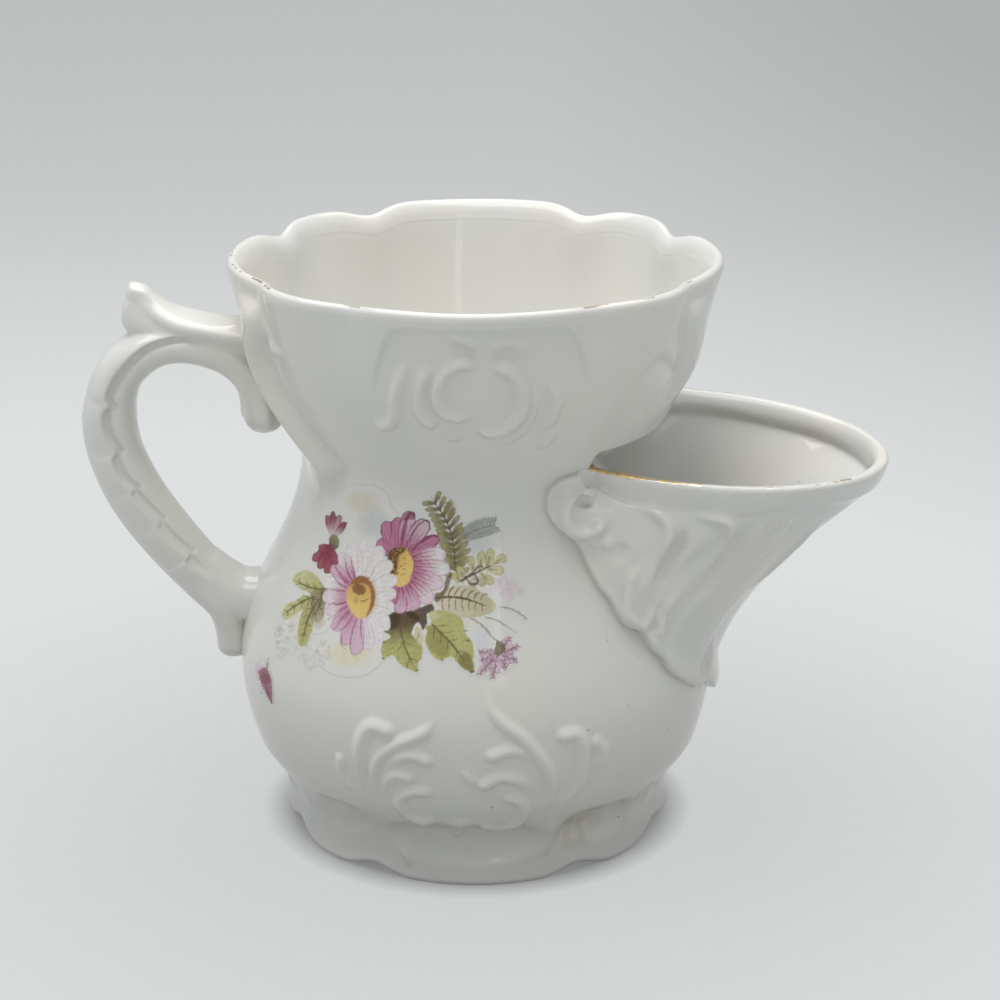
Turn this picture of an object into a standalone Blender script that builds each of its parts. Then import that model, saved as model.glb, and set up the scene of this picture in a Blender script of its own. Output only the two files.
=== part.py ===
"""Porcelain shaving scuttle: a water pot on a scalloped foot, with a lobed soap bowl on its neck,
an open brush spout moulded as an acanthus leaf, and a scrolled handle.

The five pieces are the castings that are luted together with slip before firing.
Front is -Y, the spout points to +X and the handle to -X. Metres, +Z up, the table is z = 0.
"""

import math

import bmesh
import bpy
from mathutils import Vector

# Driving dimensions
WALL = 0.0030               # cast wall of pot and bowl
JOINT = 0.0003              # slip bed between two luted castings
TURN_STEPS = 90             # facets round a turned piece, four degrees each
POT_SPANS = 10              # facets up the pot's wall to its neck
BOWL_SPANS = 7

POT_HEIGHT = 0.0720         # up to the seam where the bowl is luted on
SEAM_RADIUS = 0.0316
NECK_RADIUS = 0.0304
NECK_DROP = 0.0045          # the neck is narrowest this far below the seam
BELLY_RADIUS = 0.0420
BELLY_HEIGHT = 0.0310

FOOT_HEIGHT = 0.0130        # the scallops fade out at this height
FOOT_RADIUS = 0.0342
FOOT_WAIST_RADIUS = 0.0347
FOOT_WAIST_HEIGHT = 0.0050
FOOT_ROUND = 0.0010         # rounded outer edge of the foot
FOOT_RING = 0.0045          # width of the flat ring that it stands on
BASE_RECESS = 0.0025        # the base stands clear of the table by this much
BASE_FLOOR = 0.0035         # thickness of the base
FOOT_CUSPS = (16, 52)       # degrees from the spout axis to the two cusps of a quarter
FOOT_CUSP_DEPTH = 0.0030
FOOT_CUSP_LIFT = 0.0012
FOOT_CUSP_ARCH = 5          # degrees over which the lift dies away

BOWL_HEIGHT = 0.0277        # seam to the side lobes of the rim
RIM_RADIUS = 0.0425
RIM_CROWN = 0.0018          # front and back lobes stand this much higher
RIM_CUSPS = (28, 60)        # degrees from the spout axis to the two cusps of a quarter
RIM_CUSP_DEPTH = 0.0034
RIM_FLUTE = 0.0200          # length of the flutes below the rim
RIM_EDGE = 0.0022           # thickness at the rounded rim
RIM_ROUND = 0.3             # share of that thickness taken by the rounding of each side
LOBE_ROUND = 0.75           # exponent of a lobe's arc: below 1 is fuller, with a sharper cusp
BOWL_LOWER_PULL = (0.0040, 0.0050)      # radial and upward handle of the lower wall
BOWL_UPPER_PULL = (0.0029, 0.0130)      # inward and downward handle below the rim
LEDGE = 0.0070              # inward ledge that carries the drainer
LEDGE_THICKNESS = 0.0025

DRAINER_THICKNESS = 0.0028
DRAINER_DISH = 0.0008       # the pierced floor sinks into the ledge by this much
DRAINER_STEPS = 36
DRAIN_HOLE = 0.0050
DRAIN_HOLE_STEPS = 16
DRAIN_RING_RADIUS = 0.0130
DRAIN_RING_COUNT = 6

SPOUT_REACH = 0.0720        # from the pot's axis to the tip
LIP_CENTRE = 0.0380         # from the pot's axis to the middle of the oval lip
LIP_HALF_WIDTH = 0.0295
LIP_FALL = 0.0046           # the lip starts level with the seam and falls this much to the tip
LIP_EDGE = 0.0032           # thickness of the beaded lip
LIP_BAND = 0.0045           # height of the beaded lip
LIP_BEAD = 0.0005           # the bead stands this proud on both sides
LIP_ROUND = (0.1, 0.7)      # shares of the band's height between which the bead is fullest
LEAF_SWEEP = 69.0           # degrees from the spout axis to which the leaf wraps the neck
LEAF_SQUARE = 3.2           # exponent of the outlines on the pot: 2 is an ellipse, higher is squarer
LEAF_BOTTOM = 0.0240        # height of the leaf's lowest tip
LEAF_SPAN = 0.89            # share of its full outline that the leaf follows up the neck
LEAF_THICKNESS = 0.0010     # raised edge of the leaf on the pot
LEAF_LOBES = 14             # lobes round the leaf's edge
LEAF_NOTCH = 0.055          # share of the leaf that the notches cut in
LEAF_PLAIN = (0.69, 0.82)   # shares of the outline between which the notches die away
FLUTE_DEPTH = 0.0006
POCKET_SWEEP = 53.5         # degrees from the spout axis to the sides of the opening in the neck
POCKET_BOTTOM = 0.0400      # lowest point of that opening
LEAF_LOWER_PULL = (0.38, -0.09)         # handles of the leaf's and the pocket's side views,
LEAF_UPPER_PULL = (0.20, 0.35)          # as shares of the rise and of the reach
POCKET_LOWER_PULL = (0.15, 0.25)
POCKET_UPPER_PULL = (0.25, 0.35)
LEAF_COLUMNS = 84
POCKET_COLUMNS = 65         # odd, so that no edge of the pocket meets an edge of the leaf head on
LEAF_ROWS = 6
POCKET_ROWS = 4
LIP_TURN_TRIES = 30         # halvings of the search for where the lip enters the neck

HANDLE_REACH = 0.0690       # from the pot's axis to the back of the grip
HANDLE_TOP_DROP = 0.0120    # the upper arm's middle lies this far below the side lobes
HANDLE_BOTTOM = 0.0285      # lower tip
HANDLE_WIDTH = 0.0110
HANDLE_SQUARE = 2.6         # exponent of its section
HANDLE_SIDES = 14

PORCELAIN = (0.80, 0.79, 0.76)
PORCELAIN_ROUGHNESS = 0.12

# Worked out from the driving dimensions
NECK_HEIGHT = POT_HEIGHT - NECK_DROP
BOWL_BOTTOM = POT_HEIGHT + JOINT
RIM_HEIGHT = BOWL_BOTTOM + BOWL_HEIGHT
LEDGE_TOP = BOWL_BOTTOM + LEDGE_THICKNESS
LEDGE_HOLE = SEAM_RADIUS - WALL - LEDGE
LEAF_HALF_WIDTH = NECK_RADIUS * math.sin(math.radians(LEAF_SWEEP))
POCKET_HALF_WIDTH = NECK_RADIUS * math.sin(math.radians(POCKET_SWEEP))
HANDLE_TOP = RIM_HEIGHT - HANDLE_TOP_DROP


def clear_scene():
    for obj in list(bpy.data.objects):
        bpy.data.objects.remove(obj, do_unlink=True)


def make_stand():
    """Empty on the pot's axis, placed so that the whole scuttle is centred on the origin."""
    stand = bpy.data.objects.new("stand", None)
    stand.location.x = (HANDLE_REACH - SPOUT_REACH) / 2
    bpy.context.collection.objects.link(stand)
    return stand


def porcelain(name):
    material = bpy.data.materials.new(name)
    material.use_nodes = True
    shader = material.node_tree.nodes["Principled BSDF"]
    shader.inputs["Base Color"].default_value = (*PORCELAIN, 1.0)
    shader.inputs["Roughness"].default_value = PORCELAIN_ROUGHNESS
    shader.inputs["Metallic"].default_value = 0.0
    material.diffuse_color = (*PORCELAIN, 1.0)
    return material


def add_object(name, bm, stand, cutter=False):
    bmesh.ops.recalc_face_normals(bm, faces=bm.faces)
    mesh = bpy.data.meshes.new(name)
    bm.to_mesh(mesh)
    bm.free()
    obj = bpy.data.objects.new(name, mesh)
    obj.parent = stand
    bpy.context.collection.objects.link(obj)
    if cutter:
        obj.hide_render = True
        obj.display_type = "WIRE"
    else:
        mesh.shade_smooth()
        mesh.set_sharp_from_angle(angle=math.radians(40))
        mesh.materials.append(porcelain(name + "_glaze"))
    return obj


def boolean(obj, other, operation):
    modifier = obj.modifiers.new(operation.lower() + "_" + other.name, "BOOLEAN")
    modifier.operation = operation
    modifier.solver = "EXACT"
    modifier.object = other


def bezier(start, pull, draw, end, count):
    """Points on one cubic Bezier, ends included."""
    curve = []
    for i in range(count + 1):
        t = i / count
        s = 1 - t
        curve.append(start * s**3 + pull * (3 * s * s * t) + draw * (3 * s * t * t) + end * t**3)
    return curve


def through(points, per_span):
    """A Catmull-Rom curve through hand-placed points."""
    knots = [Vector(point) for point in points]
    padded = [2 * knots[0] - knots[1], *knots, 2 * knots[-1] - knots[-2]]
    curve = []
    for a, b, c, d in zip(padded, padded[1:], padded[2:], padded[3:]):
        for i in range(per_span):
            t = i / per_span
            bend = 2 * a - 5 * b + 4 * c - d
            curve.append((2 * b + (c - a) * t + bend * t**2 + (3 * b - a - 3 * c + d) * t**3) / 2)
    curve.append(knots[-1])
    return curve


def heights(low, high, count):
    return [low + (high - low) * i / count for i in range(count + 1)]


def smooth_share(value, low, high):
    """0 below low, 1 above high, with an even blend between."""
    t = min(max((value - low) / (high - low), 0.0), 1.0)
    return t * t * (3 - 2 * t)


def turned(outline, steps, closed=False):
    """Spin an outline of (radius, height) points about the Z axis."""
    bm = bmesh.new()
    verts = [bm.verts.new((radius, 0.0, height)) for radius, height in outline]
    edges = [bm.edges.new(pair) for pair in zip(verts, verts[1:])]
    if closed:
        edges.append(bm.edges.new((verts[-1], verts[0])))
    bmesh.ops.spin(bm, geom=verts + edges, cent=(0, 0, 0), axis=(0, 0, 1),
                   angle=math.tau, steps=steps, use_merge=True)
    bmesh.ops.remove_doubles(bm, verts=bm.verts, dist=1e-6)
    return bm


def quarter_angle(point):
    """Degrees from the spout axis, folded into one quarter by the two mirror planes."""
    return math.degrees(math.atan2(abs(point.y), abs(point.x)))


def lobe_bulge(angle, cusps):
    """1 at the middle of a lobe and 0 at a cusp, for an angle within one quarter."""
    side, front = cusps
    for low, high in ((-side, side), (side, front), (front, 180 - front)):
        if angle <= high:
            return math.sin(math.pi * (angle - low) / (high - low)) ** LOBE_ROUND
    return 1.0


def pot_radius(height):
    """Outer radius of the pot: a ball below the belly, a cosine shoulder, and a flare to the seam."""
    if height < BELLY_HEIGHT:
        drop = BELLY_HEIGHT - height
        return math.sqrt(BELLY_RADIUS**2 - drop**2)
    if height < NECK_HEIGHT:
        share = (height - BELLY_HEIGHT) / (NECK_HEIGHT - BELLY_HEIGHT)
        return NECK_RADIUS + (BELLY_RADIUS - NECK_RADIUS) * (1 + math.cos(math.pi * share)) / 2
    share = (height - NECK_HEIGHT) / NECK_DROP
    return NECK_RADIUS + (SEAM_RADIUS - NECK_RADIUS) * share * share


def pot_wall(offset, spans):
    """Wall of the pot from foot to seam as (radius, height) points, with two spans for the flare."""
    levels = heights(FOOT_HEIGHT, NECK_HEIGHT, spans)[:-1] + heights(NECK_HEIGHT, POT_HEIGHT, 2)
    return [(pot_radius(z) + offset, z) for z in levels]


def bowl_wall(offset, count):
    """Outer wall of the bowl from seam to rim as (radius, height) points, moved out by an offset."""
    seam = Vector((SEAM_RADIUS, BOWL_BOTTOM))
    rim = Vector((RIM_RADIUS, RIM_HEIGHT))
    curve = bezier(seam, seam + Vector(BOWL_LOWER_PULL), rim - Vector(BOWL_UPPER_PULL), rim, count)
    return [(point.x + offset, point.y) for point in curve]


def body_radius(height):
    """Outer radius of pot or bowl at a height."""
    if height <= POT_HEIGHT:
        return pot_radius(height)
    return next(radius for radius, level in bowl_wall(0.0, 60) if level >= min(height, RIM_HEIGHT))


def make_water_pot(stand):
    ring_outer = FOOT_RADIUS - FOOT_ROUND
    ring_inner = ring_outer - FOOT_RING
    floor = BASE_RECESS + BASE_FLOOR
    base = [(0.0, BASE_RECESS), (ring_inner - BASE_RECESS, BASE_RECESS), (ring_inner, 0.0)]
    foot = [(ring_outer, 0.0), (FOOT_RADIUS, FOOT_ROUND), (FOOT_WAIST_RADIUS, FOOT_WAIST_HEIGHT)]
    outer = pot_wall(0.0, POT_SPANS)
    inner = pot_wall(-WALL, POT_SPANS // 2)
    bottom = [(ring_inner - WALL, floor), (0.0, floor)]
    bm = turned(base + foot + outer + inner[::-1] + bottom, TURN_STEPS)
    for vert in bm.verts:
        if vert.co.xy.length > ring_inner + JOINT and vert.co.z < FOOT_HEIGHT - JOINT:
            scallop_foot(vert.co)
    pot = add_object("water_pot", bm, stand)
    boolean(pot, make_pocket_cutter(stand), "DIFFERENCE")


def scallop_foot(point):
    """Draw the foot in at its cusps, and lift its edge off the table there."""
    angle = quarter_angle(point)
    fade = 1 - smooth_share(point.z, 0.0, FOOT_HEIGHT)
    radius = point.xy.length
    point.xy *= 1 - FOOT_CUSP_DEPTH * (1 - lobe_bulge(angle, FOOT_CUSPS)) * fade / radius
    nearest = min(abs(angle - cusp) for cusp in FOOT_CUSPS)
    point.z += FOOT_CUSP_LIFT * fade * max(0.0, 1 - nearest / FOOT_CUSP_ARCH)


def make_pocket_cutter(stand):
    """Prism along the spout axis that opens the pot's wall and neck into the spout."""
    bm = bmesh.new()
    above = POT_HEIGHT + WALL
    corners = [pocket_outline(share, JOINT) for share in spout_shares(POCKET_COLUMNS)]
    corners = [(corners[0][0], above), *corners, (corners[-1][0], above)]
    start = NECK_RADIUS / 4
    face = bm.faces.new([bm.verts.new((start, y, z)) for y, z in corners])
    extruded = bmesh.ops.extrude_face_region(bm, geom=[face])
    moved = [item for item in extruded["geom"] if isinstance(item, bmesh.types.BMVert)]
    bmesh.ops.translate(bm, verts=moved, vec=(BELLY_RADIUS + SPOUT_REACH, 0, 0))
    return add_object("pocket_cutter", bm, stand, cutter=True)


def make_soap_bowl(stand):
    outer = bowl_wall(0.0, BOWL_SPANS)
    middle = RIM_RADIUS - RIM_EDGE / 2
    rounding = RIM_ROUND * RIM_EDGE
    lip = [(middle + rounding, RIM_HEIGHT + rounding), (middle - rounding, RIM_HEIGHT + rounding)]
    inner = []
    for radius, height in reversed(outer):
        if height > LEDGE_TOP:
            share = smooth_share(height, RIM_HEIGHT - RIM_FLUTE, RIM_HEIGHT)
            inner.append((radius - WALL + (WALL - RIM_EDGE) * share, height))
    ledge = [(drainer_seat_radius(), LEDGE_TOP), (LEDGE_HOLE, LEDGE_TOP), (LEDGE_HOLE, BOWL_BOTTOM)]
    bm = turned(outer + lip + inner + ledge, TURN_STEPS, closed=True)
    for vert in bm.verts:
        if vert.co.z > RIM_HEIGHT - RIM_FLUTE:
            flute_rim(vert.co)
    add_object("soap_bowl", bm, stand)


def flute_rim(point):
    """Scallop the rim: cusps drawn in, front and back lobes raised."""
    radius = point.xy.length
    share = smooth_share(point.z, RIM_HEIGHT - RIM_FLUTE, RIM_HEIGHT)
    dent = RIM_CUSP_DEPTH * share * share * (1 - lobe_bulge(quarter_angle(point), RIM_CUSPS))
    point.z += RIM_CROWN * share * (point.y / radius) ** 2
    point.xy *= 1 - dent / radius


def drainer_seat_radius():
    """Inner radius of the bowl's wall where it meets the top of the ledge."""
    return min(radius for radius, height in bowl_wall(-WALL, 24) if height > LEDGE_TOP)


def make_soap_drainer(stand):
    floor = LEDGE_TOP + JOINT
    top = floor + DRAINER_THICKNESS
    edge = drainer_seat_radius() - JOINT
    spigot = LEDGE_HOLE - JOINT
    outline = [(0.0, floor - DRAINER_DISH), (spigot, floor - DRAINER_DISH), (spigot, floor),
               (edge, floor), (edge, top), (0.0, top - DRAINER_DISH)]
    drainer = add_object("soap_drainer", turned(outline, DRAINER_STEPS), stand)
    boolean(drainer, make_drain_cutter(floor, stand), "DIFFERENCE")


def make_drain_cutter(floor, stand):
    """One drain hole in the middle and a ring of them round it."""
    bm = bmesh.new()
    middle = Vector((0, 0, floor))
    spots = [middle]
    for i in range(DRAIN_RING_COUNT):
        turn = math.tau * i / DRAIN_RING_COUNT
        spots.append(middle + DRAIN_RING_RADIUS * Vector((math.cos(turn), math.sin(turn), 0)))
    for spot in spots:
        made = bmesh.ops.create_cone(bm, cap_ends=True, segments=DRAIN_HOLE_STEPS,
                                     radius1=DRAIN_HOLE / 2, radius2=DRAIN_HOLE / 2,
                                     depth=6 * DRAINER_THICKNESS)
        bmesh.ops.translate(bm, verts=made["verts"], vec=spot)
    return add_object("drain_cutter", bm, stand, cutter=True)


def spout_shares(count):
    """Shares round the spout: -1 at the front of the neck, 0 at the tip and 1 at the back."""
    return [2 * i / count - 1 for i in range(count + 1)]


def squarish(share):
    """Unit half oval of the outlines on the pot: share downwards, and share across."""
    angle = share * LEAF_SPAN * math.pi / 2
    c = math.cos(angle)
    s = math.sin(angle)
    scale = (abs(c) ** LEAF_SQUARE + abs(s) ** LEAF_SQUARE) ** (-1 / LEAF_SQUARE)
    return c * scale, s * scale


def pocket_outline(share, grow=0.0):
    """(y, z) round the U-shaped opening from the pot into the spout."""
    down, across = squarish(share)
    depth = POT_HEIGHT - POCKET_BOTTOM + grow
    return (POCKET_HALF_WIDTH + grow) * across, POT_HEIGHT - depth * down


def leaf_outline(share):
    """(y, z) round the lobed edge of the leaf on the pot."""
    down, across = squarish(share)
    notched = LEAF_NOTCH * (1 - smooth_share(abs(share), *LEAF_PLAIN))
    lobe = 1 - notched * (1 - abs(math.cos(LEAF_LOBES * math.pi / 2 * share)))
    return LEAF_HALF_WIDTH * across * lobe, POT_HEIGHT - (POT_HEIGHT - LEAF_BOTTOM) * down * lobe


def on_pot(y, z, proud):
    """Point on the pot's spout side, standing proud of its wall."""
    radius = pot_radius(z) + JOINT + proud
    return Vector((math.sqrt(radius * radius - y * y), y, z))


def lift_off_pot(point, proud):
    """Push a point away from the pot's axis until it stands proud of its wall."""
    least = pot_radius(point.z) + JOINT + proud
    radius = point.xy.length
    if radius < least:
        point.xy *= least / radius


def sunk(point):
    """A point drawn down into the pot's wall, for the body cutter to trim."""
    return Vector((*(point.xy * (1 - WALL / point.xy.length)), point.z - WALL))


def side_curve(low, high, lower_pull, upper_pull, count):
    """Side view of the spout from a point on the pot up to its lip."""
    up = Vector((0, 0, high.z - low.z))
    outward = high - low - up
    pull = low + lower_pull[0] * up + lower_pull[1] * outward
    draw = high - upper_pull[0] * up - upper_pull[1] * outward
    return bezier(low, pull, draw, high, count)


def lip_oval(angle, inset):
    """Plan of the lip at an angle from the tip."""
    x = LIP_CENTRE + (SPOUT_REACH - LIP_CENTRE - inset) * math.cos(angle)
    return Vector((x, (LIP_HALF_WIDTH - inset) * math.sin(angle)))


def lip_turn():
    """Angle from the tip at which the lip has gone halfway into the neck's wall."""
    outside = math.pi / 2
    inside = math.pi
    for _ in range(LIP_TURN_TRIES):
        angle = (outside + inside) / 2
        if lip_oval(angle, 0.0).length > NECK_RADIUS - WALL / 2:
            outside = angle
        else:
            inside = angle
    return inside


def lip_point(share, inset, down):
    """Point by the spout's lip, which lies in a plane that falls to the tip."""
    plan = lip_oval(share * lip_turn(), inset)
    level = NECK_RADIUS / 2
    fall = LIP_FALL * (plan.x - level) / (SPOUT_REACH - level)
    return Vector((plan.x, plan.y, POT_HEIGHT - fall - down))


def leaf_column(share):
    """Outer face of the spout at one share: leaf edge on the pot, leaf, bead and top of the lip."""
    edge = on_pot(*leaf_outline(share), LEAF_THICKNESS)
    throat = lip_point(share, LIP_BEAD, LIP_BAND)
    column = side_curve(edge, throat, LEAF_LOWER_PULL, LEAF_UPPER_PULL, LEAF_ROWS)
    away = lip_point(share, 0.0, 0.0) - lip_point(share, LIP_EDGE, 0.0)
    flute = FLUTE_DEPTH * math.cos(LEAF_LOBES * math.pi * share)
    for row, point in enumerate(column):
        point += away.normalized() * (flute * math.sin(math.pi * row / LEAF_ROWS))
        lift_off_pot(point, LEAF_THICKNESS)
    high, low = LIP_ROUND
    bead = [lip_point(share, 0.0, low * LIP_BAND), lip_point(share, LIP_BEAD / 2, high * LIP_BAND)]
    top = [lip_point(share, LIP_EDGE / 2, 0.0), lip_point(share, LIP_EDGE, 2 * high * LIP_BAND)]
    return [sunk(edge), *column, *bead, *top]


def pocket_column(share):
    """Inner face of the spout at one share: opening in the pot, wall, bead, and up past the lip."""
    edge = on_pot(*pocket_outline(share), 0.0)
    throat = lip_point(share, LIP_EDGE - LIP_BEAD, LIP_BAND)
    wall = side_curve(edge, throat, POCKET_LOWER_PULL, POCKET_UPPER_PULL, POCKET_ROWS)
    high, low = LIP_ROUND
    bead = [lip_point(share, LIP_EDGE, low * LIP_BAND),
            lip_point(share, LIP_EDGE - LIP_BEAD / 2, high * LIP_BAND)]
    above = lip_point(share, LIP_EDGE - LIP_BEAD / 2, -LIP_BAND)
    return [sunk(edge), *wall, *bead, above]


def closed_loft(name, columns, stand, cutter=False):
    """Skin over a closed row of columns, drawn to a point inside the pot below and above."""
    bm = bmesh.new()
    middle = 2 * NECK_RADIUS / 3
    bottom = bm.verts.new((middle, 0, min(column[0].z for column in columns)))
    top = bm.verts.new((middle, 0, max(column[-1].z for column in columns)))
    rows = [[bm.verts.new(point) for point in column] for column in columns]
    for left, right in zip(rows, rows[1:] + rows[:1]):
        for i in range(1, len(left)):
            bm.faces.new((left[i - 1], right[i - 1], right[i], left[i]))
        bm.faces.new((bottom, right[0], left[0]))
        bm.faces.new((top, left[-1], right[-1]))
    return add_object(name, bm, stand, cutter)


def make_brush_spout(stand, body):
    """Leaf-shaped outer form, hollowed by the pocket and fitted to the pot."""
    leaf = [leaf_column(share) for share in spout_shares(LEAF_COLUMNS)]
    pocket = [pocket_column(share) for share in spout_shares(POCKET_COLUMNS)]
    spout = closed_loft("brush_spout", leaf, stand)
    boolean(spout, closed_loft("pocket_form", pocket, stand, cutter=True), "DIFFERENCE")
    boolean(spout, body, "DIFFERENCE")


def handle_ring(bm, centre, along, thickness, width):
    """One rounded section of the handle, square to its path in the XZ plane."""
    across = Vector((-along.z, 0, along.x))
    ring = []
    for i in range(HANDLE_SIDES):
        turn = math.tau * i / HANDLE_SIDES
        c = math.cos(turn)
        s = math.sin(turn)
        scale = (abs(c) ** HANDLE_SQUARE + abs(s) ** HANDLE_SQUARE) ** (-1 / HANDLE_SQUARE) / 2
        offset = across * (c * scale * thickness)
        offset.y = s * scale * width
        ring.append(bm.verts.new(centre + offset))
    return ring


def handle_station(out, rise, thickness, width):
    """Place a section: out runs from the wall to the reach, rise from lower tip to upper arm."""
    height = HANDLE_BOTTOM + (HANDLE_TOP - HANDLE_BOTTOM) * rise
    wall = body_radius(height)
    return -(wall + (HANDLE_REACH - thickness / 2 - wall) * out), height, thickness, width


def swept_bar(name, stations, per_span, stand, cutter=False):
    """Bar along hand-placed stations of out, rise, thickness in the plane and width across it."""
    bm = bmesh.new()
    path = through([handle_station(*station) for station in stations], per_span)
    rings = []
    for i, (x, height, thickness, width) in enumerate(path):
        before = path[max(i - 1, 0)]
        after = path[min(i + 1, len(path) - 1)]
        along = Vector((after[0] - before[0], 0, after[1] - before[1])).normalized()
        rings.append(handle_ring(bm, Vector((x, 0, height)), along, thickness, width))
    for low, high in zip(rings, rings[1:]):
        for i in range(HANDLE_SIDES):
            bm.faces.new((low[i - 1], low[i], high[i], high[i - 1]))
    bm.faces.new(rings[0])
    bm.faces.new(rings[-1])
    return add_object(name, bm, stand, cutter)


def make_handle(stand, body):
    arch = [
        (-0.06, 0.99, 0.0080, HANDLE_WIDTH),
        (0.30, 1.00, 0.0080, HANDLE_WIDTH),
        (0.60, 0.985, 0.0085, HANDLE_WIDTH),
        (0.84, 0.915, 0.0092, HANDLE_WIDTH),
        (0.97, 0.805, 0.0095, HANDLE_WIDTH),
        (1.00, 0.70, 0.0096, HANDLE_WIDTH),
        (0.93, 0.565, 0.0094, HANDLE_WIDTH),
        (0.76, 0.435, 0.0092, HANDLE_WIDTH),
        (0.50, 0.310, 0.0092, HANDLE_WIDTH),
        (0.24, 0.215, 0.0100, HANDLE_WIDTH),
        (0.06, 0.125, 0.0085, 0.0095),
        (0.02, 0.045, 0.0060, 0.0070),
        (0.03, 0.000, 0.0030, 0.0040),
    ]
    thumb_rest = [
        (-0.10, 1.025, 0.0080, 0.0130),
        (0.18, 1.045, 0.0075, 0.0125),
        (0.43, 1.065, 0.0068, 0.0105),
        (0.60, 1.088, 0.0064, 0.0088),
        (0.68, 1.120, 0.0052, 0.0068),
        (0.705, 1.138, 0.0026, 0.0036),
    ]
    terminal = [
        (0.20, 0.98, 0.0070, 0.0100),
        (0.10, 0.915, 0.0072, 0.0105),
        (0.10, 0.83, 0.0070, 0.0105),
        (0.115, 0.755, 0.0080, 0.0100),
        (0.12, 0.715, 0.0055, 0.0075),
        (0.12, 0.700, 0.0020, 0.0030),
    ]
    handle = swept_bar("handle", arch, 3, stand)
    boolean(handle, swept_bar("thumb_rest_form", thumb_rest, 3, stand, cutter=True), "UNION")
    boolean(handle, swept_bar("terminal_form", terminal, 3, stand, cutter=True), "UNION")
    boolean(handle, body, "DIFFERENCE")


def make_body_cutter(stand):
    """Pot and bowl, larger by the slip bed, to fit the spout and the handle to their walls."""
    outline = [(0.0, FOOT_HEIGHT), *pot_wall(JOINT, POT_SPANS), *bowl_wall(JOINT, BOWL_SPANS)]
    outline.append((0.0, RIM_HEIGHT))
    return add_object("body_cutter", turned(outline, TURN_STEPS), stand, cutter=True)


def main():
    clear_scene()
    stand = make_stand()
    make_water_pot(stand)
    make_soap_bowl(stand)
    make_soap_drainer(stand)
    body = make_body_cutter(stand)
    make_brush_spout(stand, body)
    make_handle(stand, body)


main()
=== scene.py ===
"""Looks of a porcelain shaving scuttle: relief, glaze, flower print and worn gilding over its CAD frame.

Lengths are in millimetres on the pot's axis until a mesh is made. Front is -Y, the spout points
to +X, and azimuths are degrees from the front towards the spout.
"""

import math

import bpy
import numpy as np
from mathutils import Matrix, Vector


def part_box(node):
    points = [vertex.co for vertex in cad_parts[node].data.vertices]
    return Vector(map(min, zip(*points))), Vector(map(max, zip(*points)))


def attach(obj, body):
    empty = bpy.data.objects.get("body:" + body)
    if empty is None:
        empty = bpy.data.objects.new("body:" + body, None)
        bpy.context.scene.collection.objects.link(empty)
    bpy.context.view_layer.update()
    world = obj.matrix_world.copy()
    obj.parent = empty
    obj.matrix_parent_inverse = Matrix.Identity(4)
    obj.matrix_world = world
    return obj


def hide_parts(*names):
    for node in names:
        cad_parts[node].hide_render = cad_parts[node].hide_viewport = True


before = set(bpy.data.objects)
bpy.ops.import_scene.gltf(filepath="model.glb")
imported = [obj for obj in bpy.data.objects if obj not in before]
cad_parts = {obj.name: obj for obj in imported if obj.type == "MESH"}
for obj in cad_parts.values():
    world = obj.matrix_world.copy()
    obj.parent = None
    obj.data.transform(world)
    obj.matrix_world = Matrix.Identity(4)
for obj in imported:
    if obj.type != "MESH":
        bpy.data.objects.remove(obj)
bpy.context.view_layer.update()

MM = 0.001
SEED = 7
TINY = 1e-9

# Sizes of the castings, as in the CAD model
WALL = 3.0
POT_HEIGHT = 72.0
SEAM_RADIUS = 31.6
NECK_RADIUS = 30.4
NECK_DROP = 4.5
BELLY_RADIUS = 42.0
BELLY_HEIGHT = 31.0
FOOT_HEIGHT = 16.5
FOOT_INSIDE = 29.0          # beyond this radius the foot is scalloped
BASE_RECESS = 2.5
BASE_TOP = 6.0
FOOT_CUSPS = (22, 59)       # degrees from the side towards the front, in each quarter
FOOT_CUSP_DEPTH = 0.8
FOOT_CUSP_LIFT = 1.5
FOOT_CUSP_ARCH = 12
FOOT_SIDE_LIFT = 0.9
FOOT_SIDE_FADE = (10, 60)
RIM_HEIGHT = 100.0
RIM_RADIUS = 42.5
RIM_RISE = 1.75
RIM_CROWN = 0.3
RIM_CUSPS = (28, 60)
RIM_CUSP_DEPTH = 2.0
RIM_CUSP_DIP = 1.5
RIM_DIP_FRONT = 0.25        # share of the dip that the front cusps have, and where it grows to the back
RIM_DIP_FADE = (-10, 20)
RIM_VALLEY = 6.5
RIM_LEAN = 0.45
RIM_FLUTE = 20.0
LOBE_ROUND = 1.2
LEDGE_TOP = 74.8
LEDGE_HOLE = 21.6
SPOUT_REACH = 72.0
LIP_CENTRE = 38.0
LIP_HALF_WIDTH = 29.5
LIP_FALL = 4.6
LIP_EDGE = 3.2
LIP_BAND = 4.5
LIP_BEAD = 0.5
POCKET_SWEEP = 53.5
POCKET_BOTTOM = 40.0
LEAF_SPAN = 0.89
LEAF_SQUARE = 3.2
FOOT_OUTLINE = [    # radius and height from the foot's edge up to the belly
    (34.6, 0.9), (34.45, 2.2), (34.4, 4.2), (34.55, 6.2), (35.0, 8.2), (35.85, 10.2), (36.95, 12.2),
    (38.15, 14.2), (39.42, 16.5),
]
SEAM_PULL = (2.9, 5.4)      # how the bowl's wall leaves the seam and reaches the rim
RIM_PULL = (2.9, 13.0)
NECK_HEIGHT = POT_HEIGHT - NECK_DROP
low_corner, high_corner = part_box("soap_drainer")
AXIS_X = (low_corner.x + high_corner.x) / 2 / MM

# Camera that saw the pot, in millimetres from its axis, for a square view of 1000 units
EYE = (4.16, -417.0, 199.0)
EYE_TILT = 71.3
LENS = 90.0
SENSOR = 36.0
VIEW = 1000.0

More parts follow.
